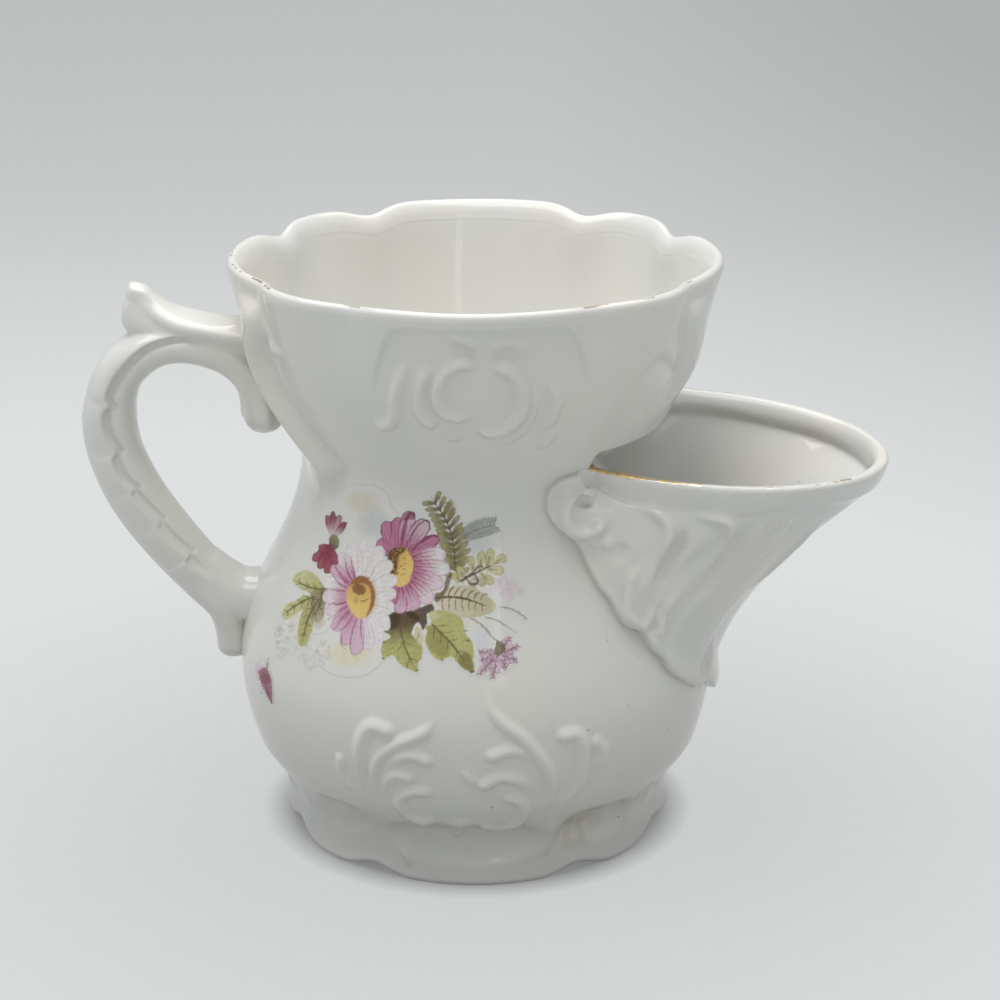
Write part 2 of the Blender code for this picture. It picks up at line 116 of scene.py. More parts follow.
# Hand-pressed unevenness, the size of its waves and their number
UNEVEN = 0.10
UNEVEN_SIZE = 22.0
RIM_UNEVEN = 0.12
RIM_UNEVEN_SIZE = 30.0
RIM_UNEVEN_FROM = 90.0
WAVES = 9

# How far pot and bowl run on under each other at their seam, and how deep
SEAM_OVERLAP = [(0.4, 0.02), (0.9, 0.06), (1.6, 0.15)]


# Curves and grids
def smooth_step(value, low, high):
    """0 up to low, 1 from high on, and a soft slope between them."""
    t = np.clip((value - low) / (high - low), 0.0, 1.0)
    return t * t * (3 - 2 * t)


def through(points, per_span):
    """Catmull-Rom curve through given points of any width."""
    knots = np.asarray(points, float)
    padded = np.vstack([2 * knots[0] - knots[1], knots, 2 * knots[-1] - knots[-2]])
    t = (np.arange(per_span) / per_span)[:, None]
    spans = []
    for a, b, c, d in zip(padded, padded[1:], padded[2:], padded[3:]):
        bend = 2 * a - 5 * b + 4 * c - d
        spans.append((2 * b + (c - a) * t + bend * t**2 + (3 * b - a - 3 * c + d) * t**3) / 2)
    return np.vstack([*spans, knots[-1:]])


def to_curve(points, curve):
    """Distance of each point to a curve, and how far along the curve its nearest spot lies."""
    gap = np.full(len(points), np.inf)
    along = np.zeros(len(points))
    for i, (a, b) in enumerate(zip(curve, curve[1:])):
        side = b - a
        t = np.clip(((points - a) @ side) / max(side @ side, TINY), 0, 1)
        away = np.linalg.norm(points - a - t[:, None] * side, axis=1)
        closer = away < gap
        gap = np.where(closer, away, gap)
        along = np.where(closer, (i + t) / (len(curve) - 1), along)
    return gap, along


def run_along(path):
    """Length of a path up to each of its points."""
    return np.concatenate([[0], np.cumsum(np.linalg.norm(np.diff(path, axis=0), axis=1))])


def bezier(start, pull, draw, end, t):
    s = 1 - t
    return start * s**3 + pull * (3 * s * s * t) + draw * (3 * s * t * t) + end * t**3


def unit(vectors):
    return vectors / np.maximum(np.linalg.norm(vectors, axis=-1, keepdims=True), TINY)


def inward(points):
    """Level way from each point to the pot's axis."""
    return unit(points * (-1, -1, 0))


def grid_normals(grid, wrap):
    """Normals of a grid of points, rows by columns, pointing to the right of row cross column."""
    if wrap:
        across = np.roll(grid, -1, 1) - np.roll(grid, 1, 1)
    else:
        across = np.gradient(grid, axis=1)
    return unit(np.cross(across, np.gradient(grid, axis=0)))


def grid_faces(rows, columns, wrap):
    i = np.arange(rows - 1)[:, None]
    j = np.arange(columns if wrap else columns - 1)[None, :]
    k = (j + 1) % columns
    corners = [i * columns + j, i * columns + k, (i + 1) * columns + k, (i + 1) * columns + j]
    return np.stack([np.broadcast_to(c, (rows - 1, j.shape[1])) for c in corners], -1).reshape(-1, 4)


def tube(grid):
    """Points and faces of a grid whose columns go round, closed at its first and last row."""
    rows, columns = grid.shape[:2]
    faces = grid_faces(rows, columns, True).tolist()
    ends = [list(range(columns))[::-1], list(range((rows - 1) * columns, rows * columns))]
    return grid.reshape(-1, 3), faces + ends


def placed(points):
    """Metres in the frame from millimetres on the pot's axis."""
    return (np.asarray(points, float) + (AXIS_X, 0, 0)) * MM


def make_piece(name, verts, faces, material, smooth=True):
    """Mesh object from millimetre points on the pot's axis."""
    mesh = bpy.data.meshes.new(name)
    mesh.from_pydata(placed(verts).tolist(), [], [list(face) for face in faces])
    mesh.validate()
    if smooth:
        mesh.shade_smooth()
    piece = bpy.data.objects.new(name, mesh)
    bpy.context.scene.collection.objects.link(piece)
    if material:
        mesh.materials.append(material)
    return piece


def bake_modifiers(piece):
    """Replace a piece's mesh by the result of its modifiers."""
    graph = bpy.context.evaluated_depsgraph_get()
    mesh = bpy.data.meshes.new_from_object(piece.evaluated_get(graph))
    piece.modifiers.clear()
    piece.data = mesh


def cut_away(piece, verts, faces, solver):
    """Take a closed form out of a piece."""
    cutter = make_piece("cutter", verts, faces, None, smooth=False)
    modifier = piece.modifiers.new("cut", "BOOLEAN")
    modifier.operation = "DIFFERENCE"
    modifier.solver = solver
    modifier.object = cutter
    bake_modifiers(piece)
    bpy.data.objects.remove(cutter)


def dress(piece, node=None):
    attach(piece, "root")
    if node:
        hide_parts(node)


# Walls of pot and bowl
FOOT_CURVE = through(FOOT_OUTLINE, 8)


def pot_radius(z):
    z = np.asarray(z, float)
    ball = np.sqrt(np.maximum(BELLY_RADIUS**2 - (BELLY_HEIGHT - z) ** 2, 1.0))
    share = np.clip((z - BELLY_HEIGHT) / (NECK_HEIGHT - BELLY_HEIGHT), 0, 1)
    shoulder = NECK_RADIUS + (BELLY_RADIUS - NECK_RADIUS) * (1 + np.cos(np.pi * share)) / 2
    flare = NECK_RADIUS + (SEAM_RADIUS - NECK_RADIUS) * ((z - NECK_HEIGHT) / NECK_DROP) ** 2
    radius = np.where(z < BELLY_HEIGHT, ball, np.where(z < NECK_HEIGHT, shoulder, flare))
    foot = np.interp(z, FOOT_CURVE[:, 1], FOOT_CURVE[:, 0])
    return np.where(z < FOOT_HEIGHT, foot, radius)


def bowl_profile(t):
    """(radius, z) of the bowl's outer wall from seam to rim."""
    seam = np.array([SEAM_RADIUS, POT_HEIGHT])
    rim = np.array([RIM_RADIUS, RIM_HEIGHT])
    t = np.asarray(t, float)[:, None]
    return bezier(seam, seam + SEAM_PULL, rim - RIM_PULL, rim, t)


BOWL_CURVE = bowl_profile(np.linspace(0, 1, 200))


def bowl_wall(z):
    return np.interp(z, BOWL_CURVE[:, 1], BOWL_CURVE[:, 0])


def body_radius(z):
    return np.where(z <= POT_HEIGHT, pot_radius(z), bowl_wall(z))


def on_body(azimuth, z, proud=0.0):
    """Points on the outside of pot or bowl at azimuths from the front."""
    turn = np.radians(azimuth)
    radius = body_radius(np.asarray(z, float)) + proud
    z = np.broadcast_to(z, np.shape(radius))
    return np.stack([radius * np.sin(turn), -radius * np.cos(turn), z], -1)


def turned_grid(outline, azimuths):
    """Rows of an outline of (radius, z) spun to the given azimuths."""
    turn = np.radians(azimuths)[None, :]
    radius = outline[:, :1]
    z = np.broadcast_to(outline[:, 1:2], (len(outline), len(azimuths)))
    return np.stack([radius * np.sin(turn), -radius * np.cos(turn), z], -1)


def radius_of(points):
    return np.hypot(points[..., 0], points[..., 1])


def azimuth_of(points):
    """Azimuth of points on the front, and of the mirror image of those on the back."""
    return np.degrees(np.arctan2(points[..., 0], np.abs(points[..., 1])))


def quarter_angle(points):
    """Degrees from the side towards front or back."""
    return np.degrees(np.arctan2(np.abs(points[..., 1]), np.abs(points[..., 0])))


def to_cusp(angle, cusps):
    """Degrees to the nearest cusp."""
    return np.minimum(*[np.abs(angle - cusp) for cusp in cusps])


def lobe_bulge(angle, cusps):
    """1 at the middle of a lobe and 0 at a cusp, for angles within one quarter."""
    side, front = cusps
    bulge = np.ones_like(angle)
    for low, high in ((front, 180 - front), (side, front), (-side, side)):
        arc = np.sin(np.pi * np.clip((angle - low) / (high - low), 0, 1)) ** LOBE_ROUND
        bulge = np.where(angle <= high, arc, bulge)
    return bulge


def scallop_foot(points):
    """Pull the foot's outside in and up at its cusps, and up at the sides."""
    angle = quarter_angle(points)
    fade = 1 - smooth_step(points[..., 2], 0.0, FOOT_HEIGHT)
    radius = radius_of(points)
    shrink = 1 - FOOT_CUSP_DEPTH * (1 - lobe_bulge(angle, FOOT_CUSPS)) * fade / np.maximum(radius, 1.0)
    arch = FOOT_CUSP_LIFT * smooth_step(1 - to_cusp(angle, FOOT_CUSPS) / FOOT_CUSP_ARCH, 0.0, 1.0)
    lift = fade * (arch + FOOT_SIDE_LIFT * (1 - smooth_step(angle, *FOOT_SIDE_FADE)))
    outer = radius > FOOT_INSIDE
    points[..., :2] *= np.where(outer, shrink, 1)[..., None]
    points[..., 2] += np.where(outer, lift, 0)


def flute_rim(points):
    """Draw the rim in and down at its cusps, and give it its rise, crown and lean."""
    radius = np.maximum(radius_of(points), 1)
    share = smooth_step(points[..., 2], RIM_HEIGHT - RIM_FLUTE, RIM_HEIGHT)
    angle = quarter_angle(points)
    dip = np.exp(-((to_cusp(angle, RIM_CUSPS) / RIM_VALLEY) ** 2))
    dent = RIM_CUSP_DEPTH * share * share * (1 - lobe_bulge(angle, RIM_CUSPS) + dip) / 2
    back = RIM_DIP_FRONT + (1 - RIM_DIP_FRONT) * smooth_step(points[..., 1], *RIM_DIP_FADE)
    points[..., 2] += share * (RIM_RISE + RIM_CROWN * (points[..., 1] / radius) ** 2)
    points[..., 2] += RIM_LEAN * share * points[..., 1] / RIM_RADIUS
    points[..., 2] -= RIM_CUSP_DIP * back * share**3 * dip
    points[..., :2] *= (1 - dent / radius)[..., None]


def wobble(points, size, seed):
    """Slow unevenness of hand-pressed clay, within about plus or minus one."""
    rng = np.random.default_rng(seed)
    total = np.zeros(points.shape[:-1])
    for _ in range(WAVES):
        wave = rng.normal(size=3) / size
        total += np.sin(points @ wave * math.tau / 2 + rng.uniform(0, math.tau))
    return total / (WAVES / 2)


# Relief: a stroke is a curve on the surface with a height and a half width that taper to its ends
RIDGE_FOOT = 1.35       # where a stroke's ridge ends, in half widths
RIDGE_ROUND = 1.6
RIDGE_MARGIN = 2.2
SLIM_END = 0.55         # share of its width that a stroke keeps at a tapered end
TAPER_LEAD = 0.02       # share of its length by which a taper starts before the end
POT_RELIEF = 1.1        # strength of the strokes on each casting
BOWL_RELIEF = 1.5
LEAF_RELIEF = 1.9
HEAD = (0.0, 0.5)       # tapers at the start and the end of a stroke, in shares of its length
TIP = (0.35, 0.35)
OPEN = (0.12, 0.12)


def stroke_field(points, curve, height, width, ends):
    """Height that one stroke adds at each point: a rounded ridge, or a groove where height is below 0."""
    field = np.zeros(len(points))
    low = curve.min(0) - RIDGE_MARGIN * width
    high = curve.max(0) + RIDGE_MARGIN * width
    near = np.where(((points > low) & (points < high)).all(1))[0]
    gap, along = to_curve(points[near], curve)
    taper = np.ones(len(near))
    for end, gone in zip(ends, (along, 1 - along)):
        if end:
            taper *= smooth_step(gone, -TAPER_LEAD, end)
    ratio = gap / (width * (SLIM_END + (1 - SLIM_END) * taper))
    field[near] = height * taper * np.maximum(1 - (ratio / RIDGE_FOOT) ** 2, 0) ** RIDGE_ROUND
    return field


def on_body_path(knots):
    return on_body(knots[:, 0], knots[:, 1])


def to_front(points):
    """Points with those on the back mirrored to the front."""
    mirrored = points.copy()
    mirrored[:, 1] = -np.abs(mirrored[:, 1])
    return mirrored


def relief(points, strokes, place, strength):
    """Relief of strokes, the same on the front and the back; place puts a stroke's path on the surface."""
    mirrored = to_front(points)
    ridges = np.zeros(len(points))
    grooves = np.zeros(len(points))
    for height, width, ends, path in strokes:
        field = stroke_field(mirrored, place(through(path, 10)), height * strength, width, ends)
        ridges = np.maximum(ridges, field)
        grooves = np.minimum(grooves, field)
    return ridges + grooves


POT_STROKES = [     # height, half width, tapers, and a path of (azimuth, z)
    (0.95, 1.25, HEAD, [(-20.1, 31.2), (-23.4, 31.6), (-25.9, 29.9), (-27.3, 26.9), (-28.0, 23.2),
                        (-28.0, 19.8), (-27.4, 16.6)]),
    (0.60, 0.90, HEAD, [(-33.0, 24.0), (-33.1, 20.5), (-31.8, 18.4), (-29.6, 16.6)]),
    (0.85, 1.05, (0.15, 0.4), [(-9.4, 33.8), (-11.7, 31.4), (-17.0, 29.3), (-21.1, 27.0), (-23.5, 24.4),
                               (-24.2, 21.6), (-23.5, 18.6), (-21.8, 15.2)]),
    (0.80, 1.15, HEAD, [(-11.2, 26.4), (-13.4, 27.1), (-16.6, 26.9), (-19.4, 25.1), (-21.8, 22.3)]),
    (0.75, 1.15, HEAD, [(-15.4, 22.8), (-18.8, 23.0), (-21.4, 20.9), (-22.2, 18.4)]),
    (0.75, 1.10, OPEN, [(-9.8, 19.8), (-12.9, 20.2), (-16.3, 19.5), (-18.6, 17.3), (-17.4, 14.9),
                        (-14.6, 13.5), (-9.6, 13.6)]),
    (0.90, 1.10, (0.3, 0.35), [(2.9, 40.2), (3.7, 36.0), (6.6, 33.2), (10.2, 31.0), (14.0, 27.6),
                               (17.3, 23.6), (18.5, 20.1), (17.8, 16.8), (15.2, 15.0)]),
    (0.80, 1.15, HEAD, [(4.0, 27.6), (7.2, 28.4), (10.5, 28.0), (15.2, 25.0)]),
    (0.80, 1.15, HEAD, [(2.3, 22.0), (6.0, 23.5), (10.5, 22.4), (14.0, 19.4)]),
    (0.75, 1.10, OPEN, [(6.0, 19.4), (10.1, 18.5), (12.0, 16.2), (11.4, 13.7), (8.3, 11.6), (4.1, 11.6),
                        (1.4, 13.0)]),
    (0.95, 1.25, HEAD, [(20.6, 30.2), (23.5, 30.0), (25.3, 27.2), (25.7, 23.5), (25.3, 20.2),
                        (23.2, 17.7), (20.4, 15.8)]),
    (0.60, 1.15, HEAD, [(28.6, 27.9), (30.7, 25.9), (30.4, 23.2), (29.2, 20.6)]),
    (0.30, 0.80, TIP, [(-3.2, 25.2), (-1.3, 23.2), (0.8, 22.0)]),
    (0.55, 1.30, (0.05, 0.6), [(-3.6, 14.2), (-4.1, 12.0), (-4.9, 9.4)]),
    (0.35, 0.90, TIP, [(-7.6, 14.0), (-6.2, 12.2), (-4.9, 9.8), (-2.6, 12.2), (-0.8, 14.2)]),
    (0.30, 0.90, TIP, [(-19.6, 6.8), (-19.9, 4.6), (-18.8, 2.4)]),
    (0.30, 1.10, (0.25, 0.35), [(19.9, 13.4), (21.4, 9.6), (20.6, 6.2), (17.6, 3.8)]),
]
BOWL_STROKES = [
    (0.35, 0.90, TIP, [(-7.0, 97.4), (-4.0, 96.7), (-1.0, 96.0), (1.6, 94.4)]),
    (0.35, 0.90, TIP, [(3.4, 94.4), (5.6, 95.4), (8.6, 95.7), (16.2, 93.8)]),
    (-0.30, 0.70, TIP, [(-6.6, 95.7), (-3.9, 95.0), (-1.1, 94.4), (1.5, 92.9)]),
    (-0.30, 0.70, TIP, [(3.6, 92.8), (5.8, 93.7), (8.4, 94.0), (15.9, 92.1)]),
    (0.75, 1.00, OPEN, [(1.0, 92.1), (-2.3, 92.6), (-5.6, 91.7), (-8.0, 89.5), (-8.7, 87.1), (-7.3, 85.1),
                        (-4.5, 84.3), (-0.4, 84.5)]),
    (0.85, 1.15, OPEN, [(3.7, 92.1), (6.5, 92.0), (9.3, 90.7), (11.3, 88.5), (11.8, 86.1), (10.6, 83.9),
                        (7.6, 82.1), (4.0, 81.6), (1.0, 82.4)]),
    (0.40, 0.80, TIP, [(13.6, 89.8), (14.4, 87.4), (14.2, 84.6), (12.2, 81.8), (8.6, 79.8), (5.0, 79.6)]),
    (0.65, 1.00, (0.2, 0.12), [(-9.2, 92.0), (-11.6, 90.3), (-13.1, 87.5), (-13.2, 85.1), (-11.3, 83.3),
                               (-8.7, 83.2)]),
    (0.60, 1.05, (0.2, 0.2), [(-15.4, 92.4), (-17.2, 90.0), (-18.8, 87.1), (-19.4, 84.7), (-20.9, 82.7),
                              (-23.7, 81.8), (-25.8, 82.8)]),
    (0.60, 1.00, TIP, [(16.9, 90.4), (19.2, 88.0), (20.0, 85.5), (19.2, 83.0), (17.2, 81.4)]),
    (0.35, 0.90, TIP, [(21.0, 82.0), (19.4, 79.2), (16.5, 77.6)]),
    (0.35, 0.90, TIP, [(-8.4, 81.5), (-5.4, 80.6), (-2.8, 80.3)]),
    (0.50, 0.90, TIP, [(-55.0, 97.4), (-57.3, 94.2), (-57.1, 91.6), (-54.5, 90.4), (-51.6, 90.6)]),
]
FOOT_PANELS = [     # middle azimuth and height, half width in degrees, half height, depth
    (-3.5, 8.4, 23.5, 4.8, 0.95),
    (36.0, 8.8, 13.0, 4.6, 1.05),
    (60.0, 10.0, 12.0, 4.8, 0.36),
    (-39.5, 10.0, 9.0, 4.4, 0.45),
    (-67.0, 10.0, 11.0, 4.8, 0.36),
]
FOOT_PANEL_SLOPE = 0.9
CREASE = [      # azimuth and height of the crest between the front and each side lobe
    (63.0, 98.5), (62.0, 93.6), (65.0, 88.4), (64.4, 83.8), (61.0, 79.9), (57.0, 76.0), (53.5, 72.9),
    (51.5, 70.5), (54.0, 67.5), (60.0, 63.5),
]
CREASE_STEP = 2.5
CREASE_FACET = 2.8
CREASE_BACK = 7.0
CREASE_GROOVE = 0.5         # depth of the groove beside the facet, its distance from the crest and its width
CREASE_GROOVE_AT = 3.4
CREASE_GROOVE_WIDTH = 1.1
CREASE_STARTS = (63, 70)    # heights between which the crease comes up, and goes out
CREASE_ENDS = (95, 99)
CREASE_RIGHT = 0.6          # strength towards the spout, and the heights between which it comes up there
CREASE_RIGHT_STARTS = (76, 88)
FIELD_TOP = 99.5            # shallow field behind the bowl's scrolls
FIELD_CORNER_FALL = 9.0
FIELD_MIDDLE = 2.0
FIELD_HALF_WIDTH = 25.0
FIELD_DEPTH = 0.55
FIELD_EDGE = (-0.6, 1.0)
FIELD_STARTS = (85, 94)


def foot_panels(points):
    """Squarish hollows round the foot."""
    azimuth = azimuth_of(points)
    field = np.zeros(len(points))
    for middle, height, half, tall, depth in FOOT_PANELS:
        inside = 1 - np.abs((azimuth - middle) / half) ** 4 - ((points[:, 2] - height) / tall) ** 2
        field = np.minimum(field, -depth * smooth_step(inside, 0.0, FOOT_PANEL_SLOPE))
    return field


def crease(points):
    """A facet between the front and each side lobe, from the rim down past the waist, with a sharp crest."""
    z = points[:, 2]
    path = through(CREASE, 8)[::-1]
    crest = np.interp(z, path[:, 1], path[:, 0])
    gap = np.radians(crest - np.abs(azimuth_of(points))) * radius_of(points)
    step = np.where(gap > 0, np.clip(1 - gap / CREASE_FACET, 0, 1), np.exp(-((gap / CREASE_BACK) ** 2)))
    groove = np.exp(-(((gap - CREASE_GROOVE_AT) / CREASE_GROOVE_WIDTH) ** 2))
    fade = smooth_step(z, *CREASE_STARTS) * (1 - smooth_step(z, *CREASE_ENDS))
    side = np.where(points[:, 0] < 0, 1, CREASE_RIGHT * smooth_step(z, *CREASE_RIGHT_STARTS))
    return (CREASE_STEP * step - CREASE_GROOVE * groove) * side * fade


def cartouche(points):
    """Shallow field behind the scrolls on the bowl, closed above and running out below."""
    z = points[:, 2]
    out = np.minimum(np.abs((azimuth_of(points) - FIELD_MIDDLE) / FIELD_HALF_WIDTH), 1.5)
    top = FIELD_TOP - FIELD_CORNER_FALL * out**6
    return -FIELD_DEPTH * smooth_step(top - z, *FIELD_EDGE) * smooth_step(z, *FIELD_STARTS)


# Materials
BLACK, FULL = (0, 0, 0), (1, 1, 1)
GLAZE = (0.72, 0.715, 0.675)
GLAZE_COOL = (0.695, 0.70, 0.672)
GLAZE_WARM = (0.735, 0.715, 0.655)
GLAZE_POOLS = [(0.35, GLAZE_COOL), (0.5, GLAZE), (0.68, GLAZE_WARM)]
POOL_SCALE = 38.0
GLOSS = (0.05, 0.11)            # least and most roughness of the glaze
GLOSS_SCALE = 120.0
DIMPLE_SCALE = 170.0
DIMPLE_STRENGTH = 0.10
DIMPLE_DEPTH = 0.0004
SPECK = (0.34, 0.26, 0.18)      # iron specks: fine dots where a patch has them
SPECK_DOTS = [(0.835, BLACK), (0.86, FULL)]
SPECK_DOT_SCALE = 1100.0
SPECK_PATCHES = [(0.60, BLACK), (0.68, FULL)]
SPECK_PATCH_SCALE = 60.0
DRAINER_PAINTED_SHADE = (0.84, 0.83, 0.80)      # painted shade: the drainer's glaze tinted darker, as its top faces the softbox
STAIN = (0.57, 0.51, 0.37)      # tea-coloured mark on the foot: colour, azimuth and height, reach in metres
STAIN_PLACE = (31.0, 9.4)
STAIN_REACH = 0.0065
STAIN_FADE = [(0.25, FULL), (0.95, BLACK)]
STAIN_RAGS = [(0.30, BLACK), (0.62, FULL)]
STAIN_RAG_SCALE = 420.0
GOLD = (0.86, 0.60, 0.27)
TARNISHED = (0.46, 0.36, 0.19)
GOLD_SHADE = 0.62               # darkest part of the gold's grain
GOLD_SCALE = 900.0
GOLD_METAL = 0.9
GOLD_ROUGH = (0.34, 0.34, 0.34)
INK_FULL = 0.4                  # cover from which the ink hides the glaze


def node_material(name):
    material = bpy.data.materials.new(name)
    material.use_nodes = True
    return material, material.node_tree, material.node_tree.nodes["Principled BSDF"]


def link(tree, output, node, socket):
    tree.links.new(output, node.inputs[socket])


def object_place(tree):
    return tree.nodes.new("ShaderNodeTexCoord").outputs["Object"]


def attribute(tree, name):
    node = tree.nodes.new("ShaderNodeAttribute")
    node.attribute_name = name
    return node.outputs


def noise(tree, place, scale, detail=2.0):
    node = tree.nodes.new("ShaderNodeTexNoise")
    node.inputs["Scale"].default_value = scale
    node.inputs["Detail"].default_value = detail
    link(tree, place, node, "Vector")
    return node.outputs["Fac"]


def ramp(tree, factor, stops):
    node = tree.nodes.new("ShaderNodeValToRGB")
    elements = node.color_ramp.elements
    while len(elements) < len(stops):
        elements.new(0.5)
    for element, (position, colour) in zip(elements, stops):
        element.position = position
        element.color = (*colour, 1.0)
    link(tree, factor, node, "Fac")
    return node.outputs["Color"]


def spread(tree, value, low, high, to_low, to_high):
    node = tree.nodes.new("ShaderNodeMapRange")
    for name, number in (("From Min", low), ("From Max", high), ("To Min", to_low), ("To Max", to_high)):
        node.inputs[name].default_value = number
    link(tree, value, node, "Value")
    return node.outputs["Result"]


def mix(tree, factor, a, b, blend="MIX"):
    node = tree.nodes.new("ShaderNodeMix")
    node.data_type = "RGBA"
    node.blend_type = blend
    sockets = [next(s for s in node.inputs if s.name == name and s.type == kind)
               for name, kind in (("Factor", "VALUE"), ("A", "RGBA"), ("B", "RGBA"))]
    for socket, value in zip(sockets, (factor, a, b)):
        if isinstance(value, bpy.types.NodeSocket):
            tree.links.new(value, socket)
        else:
            socket.default_value = (*value, 1.0) if isinstance(value, tuple) else value
    return next(s for s in node.outputs if s.type == "RGBA")


def multiply(tree, a, b):
    return mix(tree, 1.0, a, b, "MULTIPLY")


def arithmetic(tree, operation, a, b):
    node = tree.nodes.new("ShaderNodeMath")
    node.operation = operation
    link(tree, a, node, 0)
    link(tree, b, node, 1)
    return node.outputs[0]


def distance(tree, place, spot):
    node = tree.nodes.new("ShaderNodeVectorMath")
    node.operation = "DISTANCE"
    link(tree, place, node, 0)
    node.inputs[1].default_value = spot
    return node.outputs["Value"]


def glaze(tree, shader, place):
    """Clear glossy glaze with slight pooling and a few iron specks; returns its colour and roughness."""
    colour = ramp(tree, noise(tree, place, POOL_SCALE, 3.0), GLAZE_POOLS)
    dots = ramp(tree, noise(tree, place, SPECK_DOT_SCALE, 0.0), SPECK_DOTS)
    patches = ramp(tree, noise(tree, place, SPECK_PATCH_SCALE, 1.0), SPECK_PATCHES)
    colour = mix(tree, multiply(tree, dots, patches), colour, SPECK)
    bump = tree.nodes.new("ShaderNodeBump")
    bump.inputs["Strength"].default_value = DIMPLE_STRENGTH
    bump.inputs["Distance"].default_value = DIMPLE_DEPTH
    link(tree, noise(tree, place, DIMPLE_SCALE), bump, "Height")
    link(tree, bump.outputs["Normal"], shader, "Normal")
    shader.inputs["IOR"].default_value = 1.5
    return colour, spread(tree, noise(tree, place, GLOSS_SCALE, 3.0), 0.0, 1.0, *GLOSS)


def stain(tree, place, colour, spot):
    """Ragged mark round a spot."""
    near = ramp(tree, spread(tree, distance(tree, place, spot), 0.0, STAIN_REACH, 0.0, 1.0), STAIN_FADE)
    rags = ramp(tree, noise(tree, place, STAIN_RAG_SCALE), STAIN_RAGS)
    return mix(tree, multiply(tree, near, rags), colour, STAIN)


def glaze_material(name, stain_at=None, tint=None):
    material, tree, shader = node_material(name)
    place = object_place(tree)
    colour, rough = glaze(tree, shader, place)
    if tint is not None:
        colour = multiply(tree, colour, tint)
    if stain_at is not None:
        colour = stain(tree, place, colour, stain_at)
    link(tree, colour, shader, "Base Color")
    link(tree, rough, shader, "Roughness")
    return material


def ink_material(name):
    """Transfer print fired into the glaze: the colours are painted on the points of its film."""
    material, tree, shader = node_material(name)
    colour, rough = glaze(tree, shader, object_place(tree))
    ink = attribute(tree, "ink")
    cover = spread(tree, ink["Alpha"], 0.0, INK_FULL, 0.0, 1.0)
    link(tree, mix(tree, cover, colour, ink["Color"]), shader, "Base Color")
    link(tree, rough, shader, "Roughness")
    return material


def gilt_material(name, tone):
    """Gold worn down to the glaze; how much is left is painted on the points of its film."""
    material, tree, shader = node_material(name)
    place = object_place(tree)
    colour, rough = glaze(tree, shader, place)
    left = attribute(tree, "gilt")["Fac"]
    grain = [(0.3, tuple(c * GOLD_SHADE for c in tone)), (0.6, tone)]
    gold = ramp(tree, noise(tree, place, GOLD_SCALE), grain)
    link(tree, mix(tree, left, colour, gold), shader, "Base Color")
    link(tree, spread(tree, left, 0.0, 1.0, 0.0, GOLD_METAL), shader, "Metallic")
    link(tree, mix(tree, left, rough, GOLD_ROUGH), shader, "Roughness")
    return material


porcelain = glaze_material("porcelain_glaze")


# Water pot
PIN = 0.02              # radius of the pinhole that ends a turned outline at the axis
FOOT_RING = [           # radius and height from the middle of the recessed base out to the foot's edge
    (PIN, BASE_RECESS), (20.0, BASE_RECESS), (26.2, BASE_RECESS), (27.6, 1.6), (28.3, 0.35), (28.9, 0.0),
    (31.5, 0.0), (33.6, 0.0), (34.3, 0.15), (34.6, 0.5),
]
POT_FLOOR = [(33.2, 8.5), (31.0, 6.8), (27.0, BASE_TOP), (15.0, BASE_TOP), (PIN, BASE_TOP)]
POT_INSIDE_LOW = 12.0
POT_LEVELS = np.concatenate([np.linspace(1.0, 42.0, 112), np.linspace(42.5, POT_HEIGHT, 40)])
FINE, COARSE = 0.45, 1.0        # degrees between columns, finer on front and back where the relief is
AZIMUTHS = np.concatenate([
    np.arange(-40, 40, FINE), np.arange(40, 140, COARSE),
    np.arange(140, 220, FINE), np.arange(220, 320, COARSE)])
OPENING_CLEAR = 0.3             # by how much the opening into the spout is wider than the pocket
OPENING_FLARE = 1.5             # by how much it widens above the pot's top
OPENING_ABOVE = 5.0
OPENING_FROM = 8.0
OPENING_LENGTH = 70.0


def raise_rows(rows, wrap, lift):
    """Move a grid out along its normals, away from the pot's axis, by what lift says at each point."""
    face = rows.reshape(-1, 3)
    outward = grid_normals(rows, wrap).reshape(-1, 3)
    outward *= np.sign((outward * face * (1, 1, 0)).sum(1))[:, None]
    return (face + outward * lift(face)[:, None]).reshape(rows.shape)


def pot_lift(face):
    lift = relief(face, POT_STROKES, on_body_path, POT_RELIEF) + foot_panels(face) + crease(face)
    return lift + UNEVEN * wobble(face, UNEVEN_SIZE, SEED)


def build_pot():
    over = [(bowl_wall(POT_HEIGHT + rise) - sink, POT_HEIGHT + rise) for rise, sink in SEAM_OVERLAP]
    outer = np.vstack([FOOT_RING, np.stack([pot_radius(POT_LEVELS), POT_LEVELS], 1), over])
    inner_z = np.linspace(POT_HEIGHT, POT_INSIDE_LOW, 9)
    inner = np.stack([pot_radius(inner_z) - WALL, inner_z], 1)
    grid = turned_grid(np.vstack([outer, inner, POT_FLOOR]), AZIMUTHS)
    rows = slice(len(FOOT_RING), len(outer))
    grid[rows] = raise_rows(grid[rows], True, pot_lift)
    scallop_foot(grid[: len(outer)])
    stained = glaze_material("stained_glaze", placed(on_body(*STAIN_PLACE)))
    return make_piece("glazed_pot", grid.reshape(-1, 3), grid_faces(*grid.shape[:2], True), stained)


def squarish(share):
    """Rounded square outline of the leaf and the pocket: share of its depth and of its half width."""
    angle = share * LEAF_SPAN * math.pi / 2
    c, s = np.cos(angle), np.sin(angle)
    scale = (np.abs(c) ** LEAF_SQUARE + np.abs(s) ** LEAF_SQUARE) ** (-1 / LEAF_SQUARE)
    return c * scale, s * scale


def pocket_outline(share, grow=0.0):
    """y and z of the pocket's mouth in the pot's wall."""
    down, across = squarish(share)
    half = NECK_RADIUS * math.sin(math.radians(POCKET_SWEEP))
    return (half + grow) * across, POT_HEIGHT - (POT_HEIGHT - POCKET_BOTTOM + grow) * down


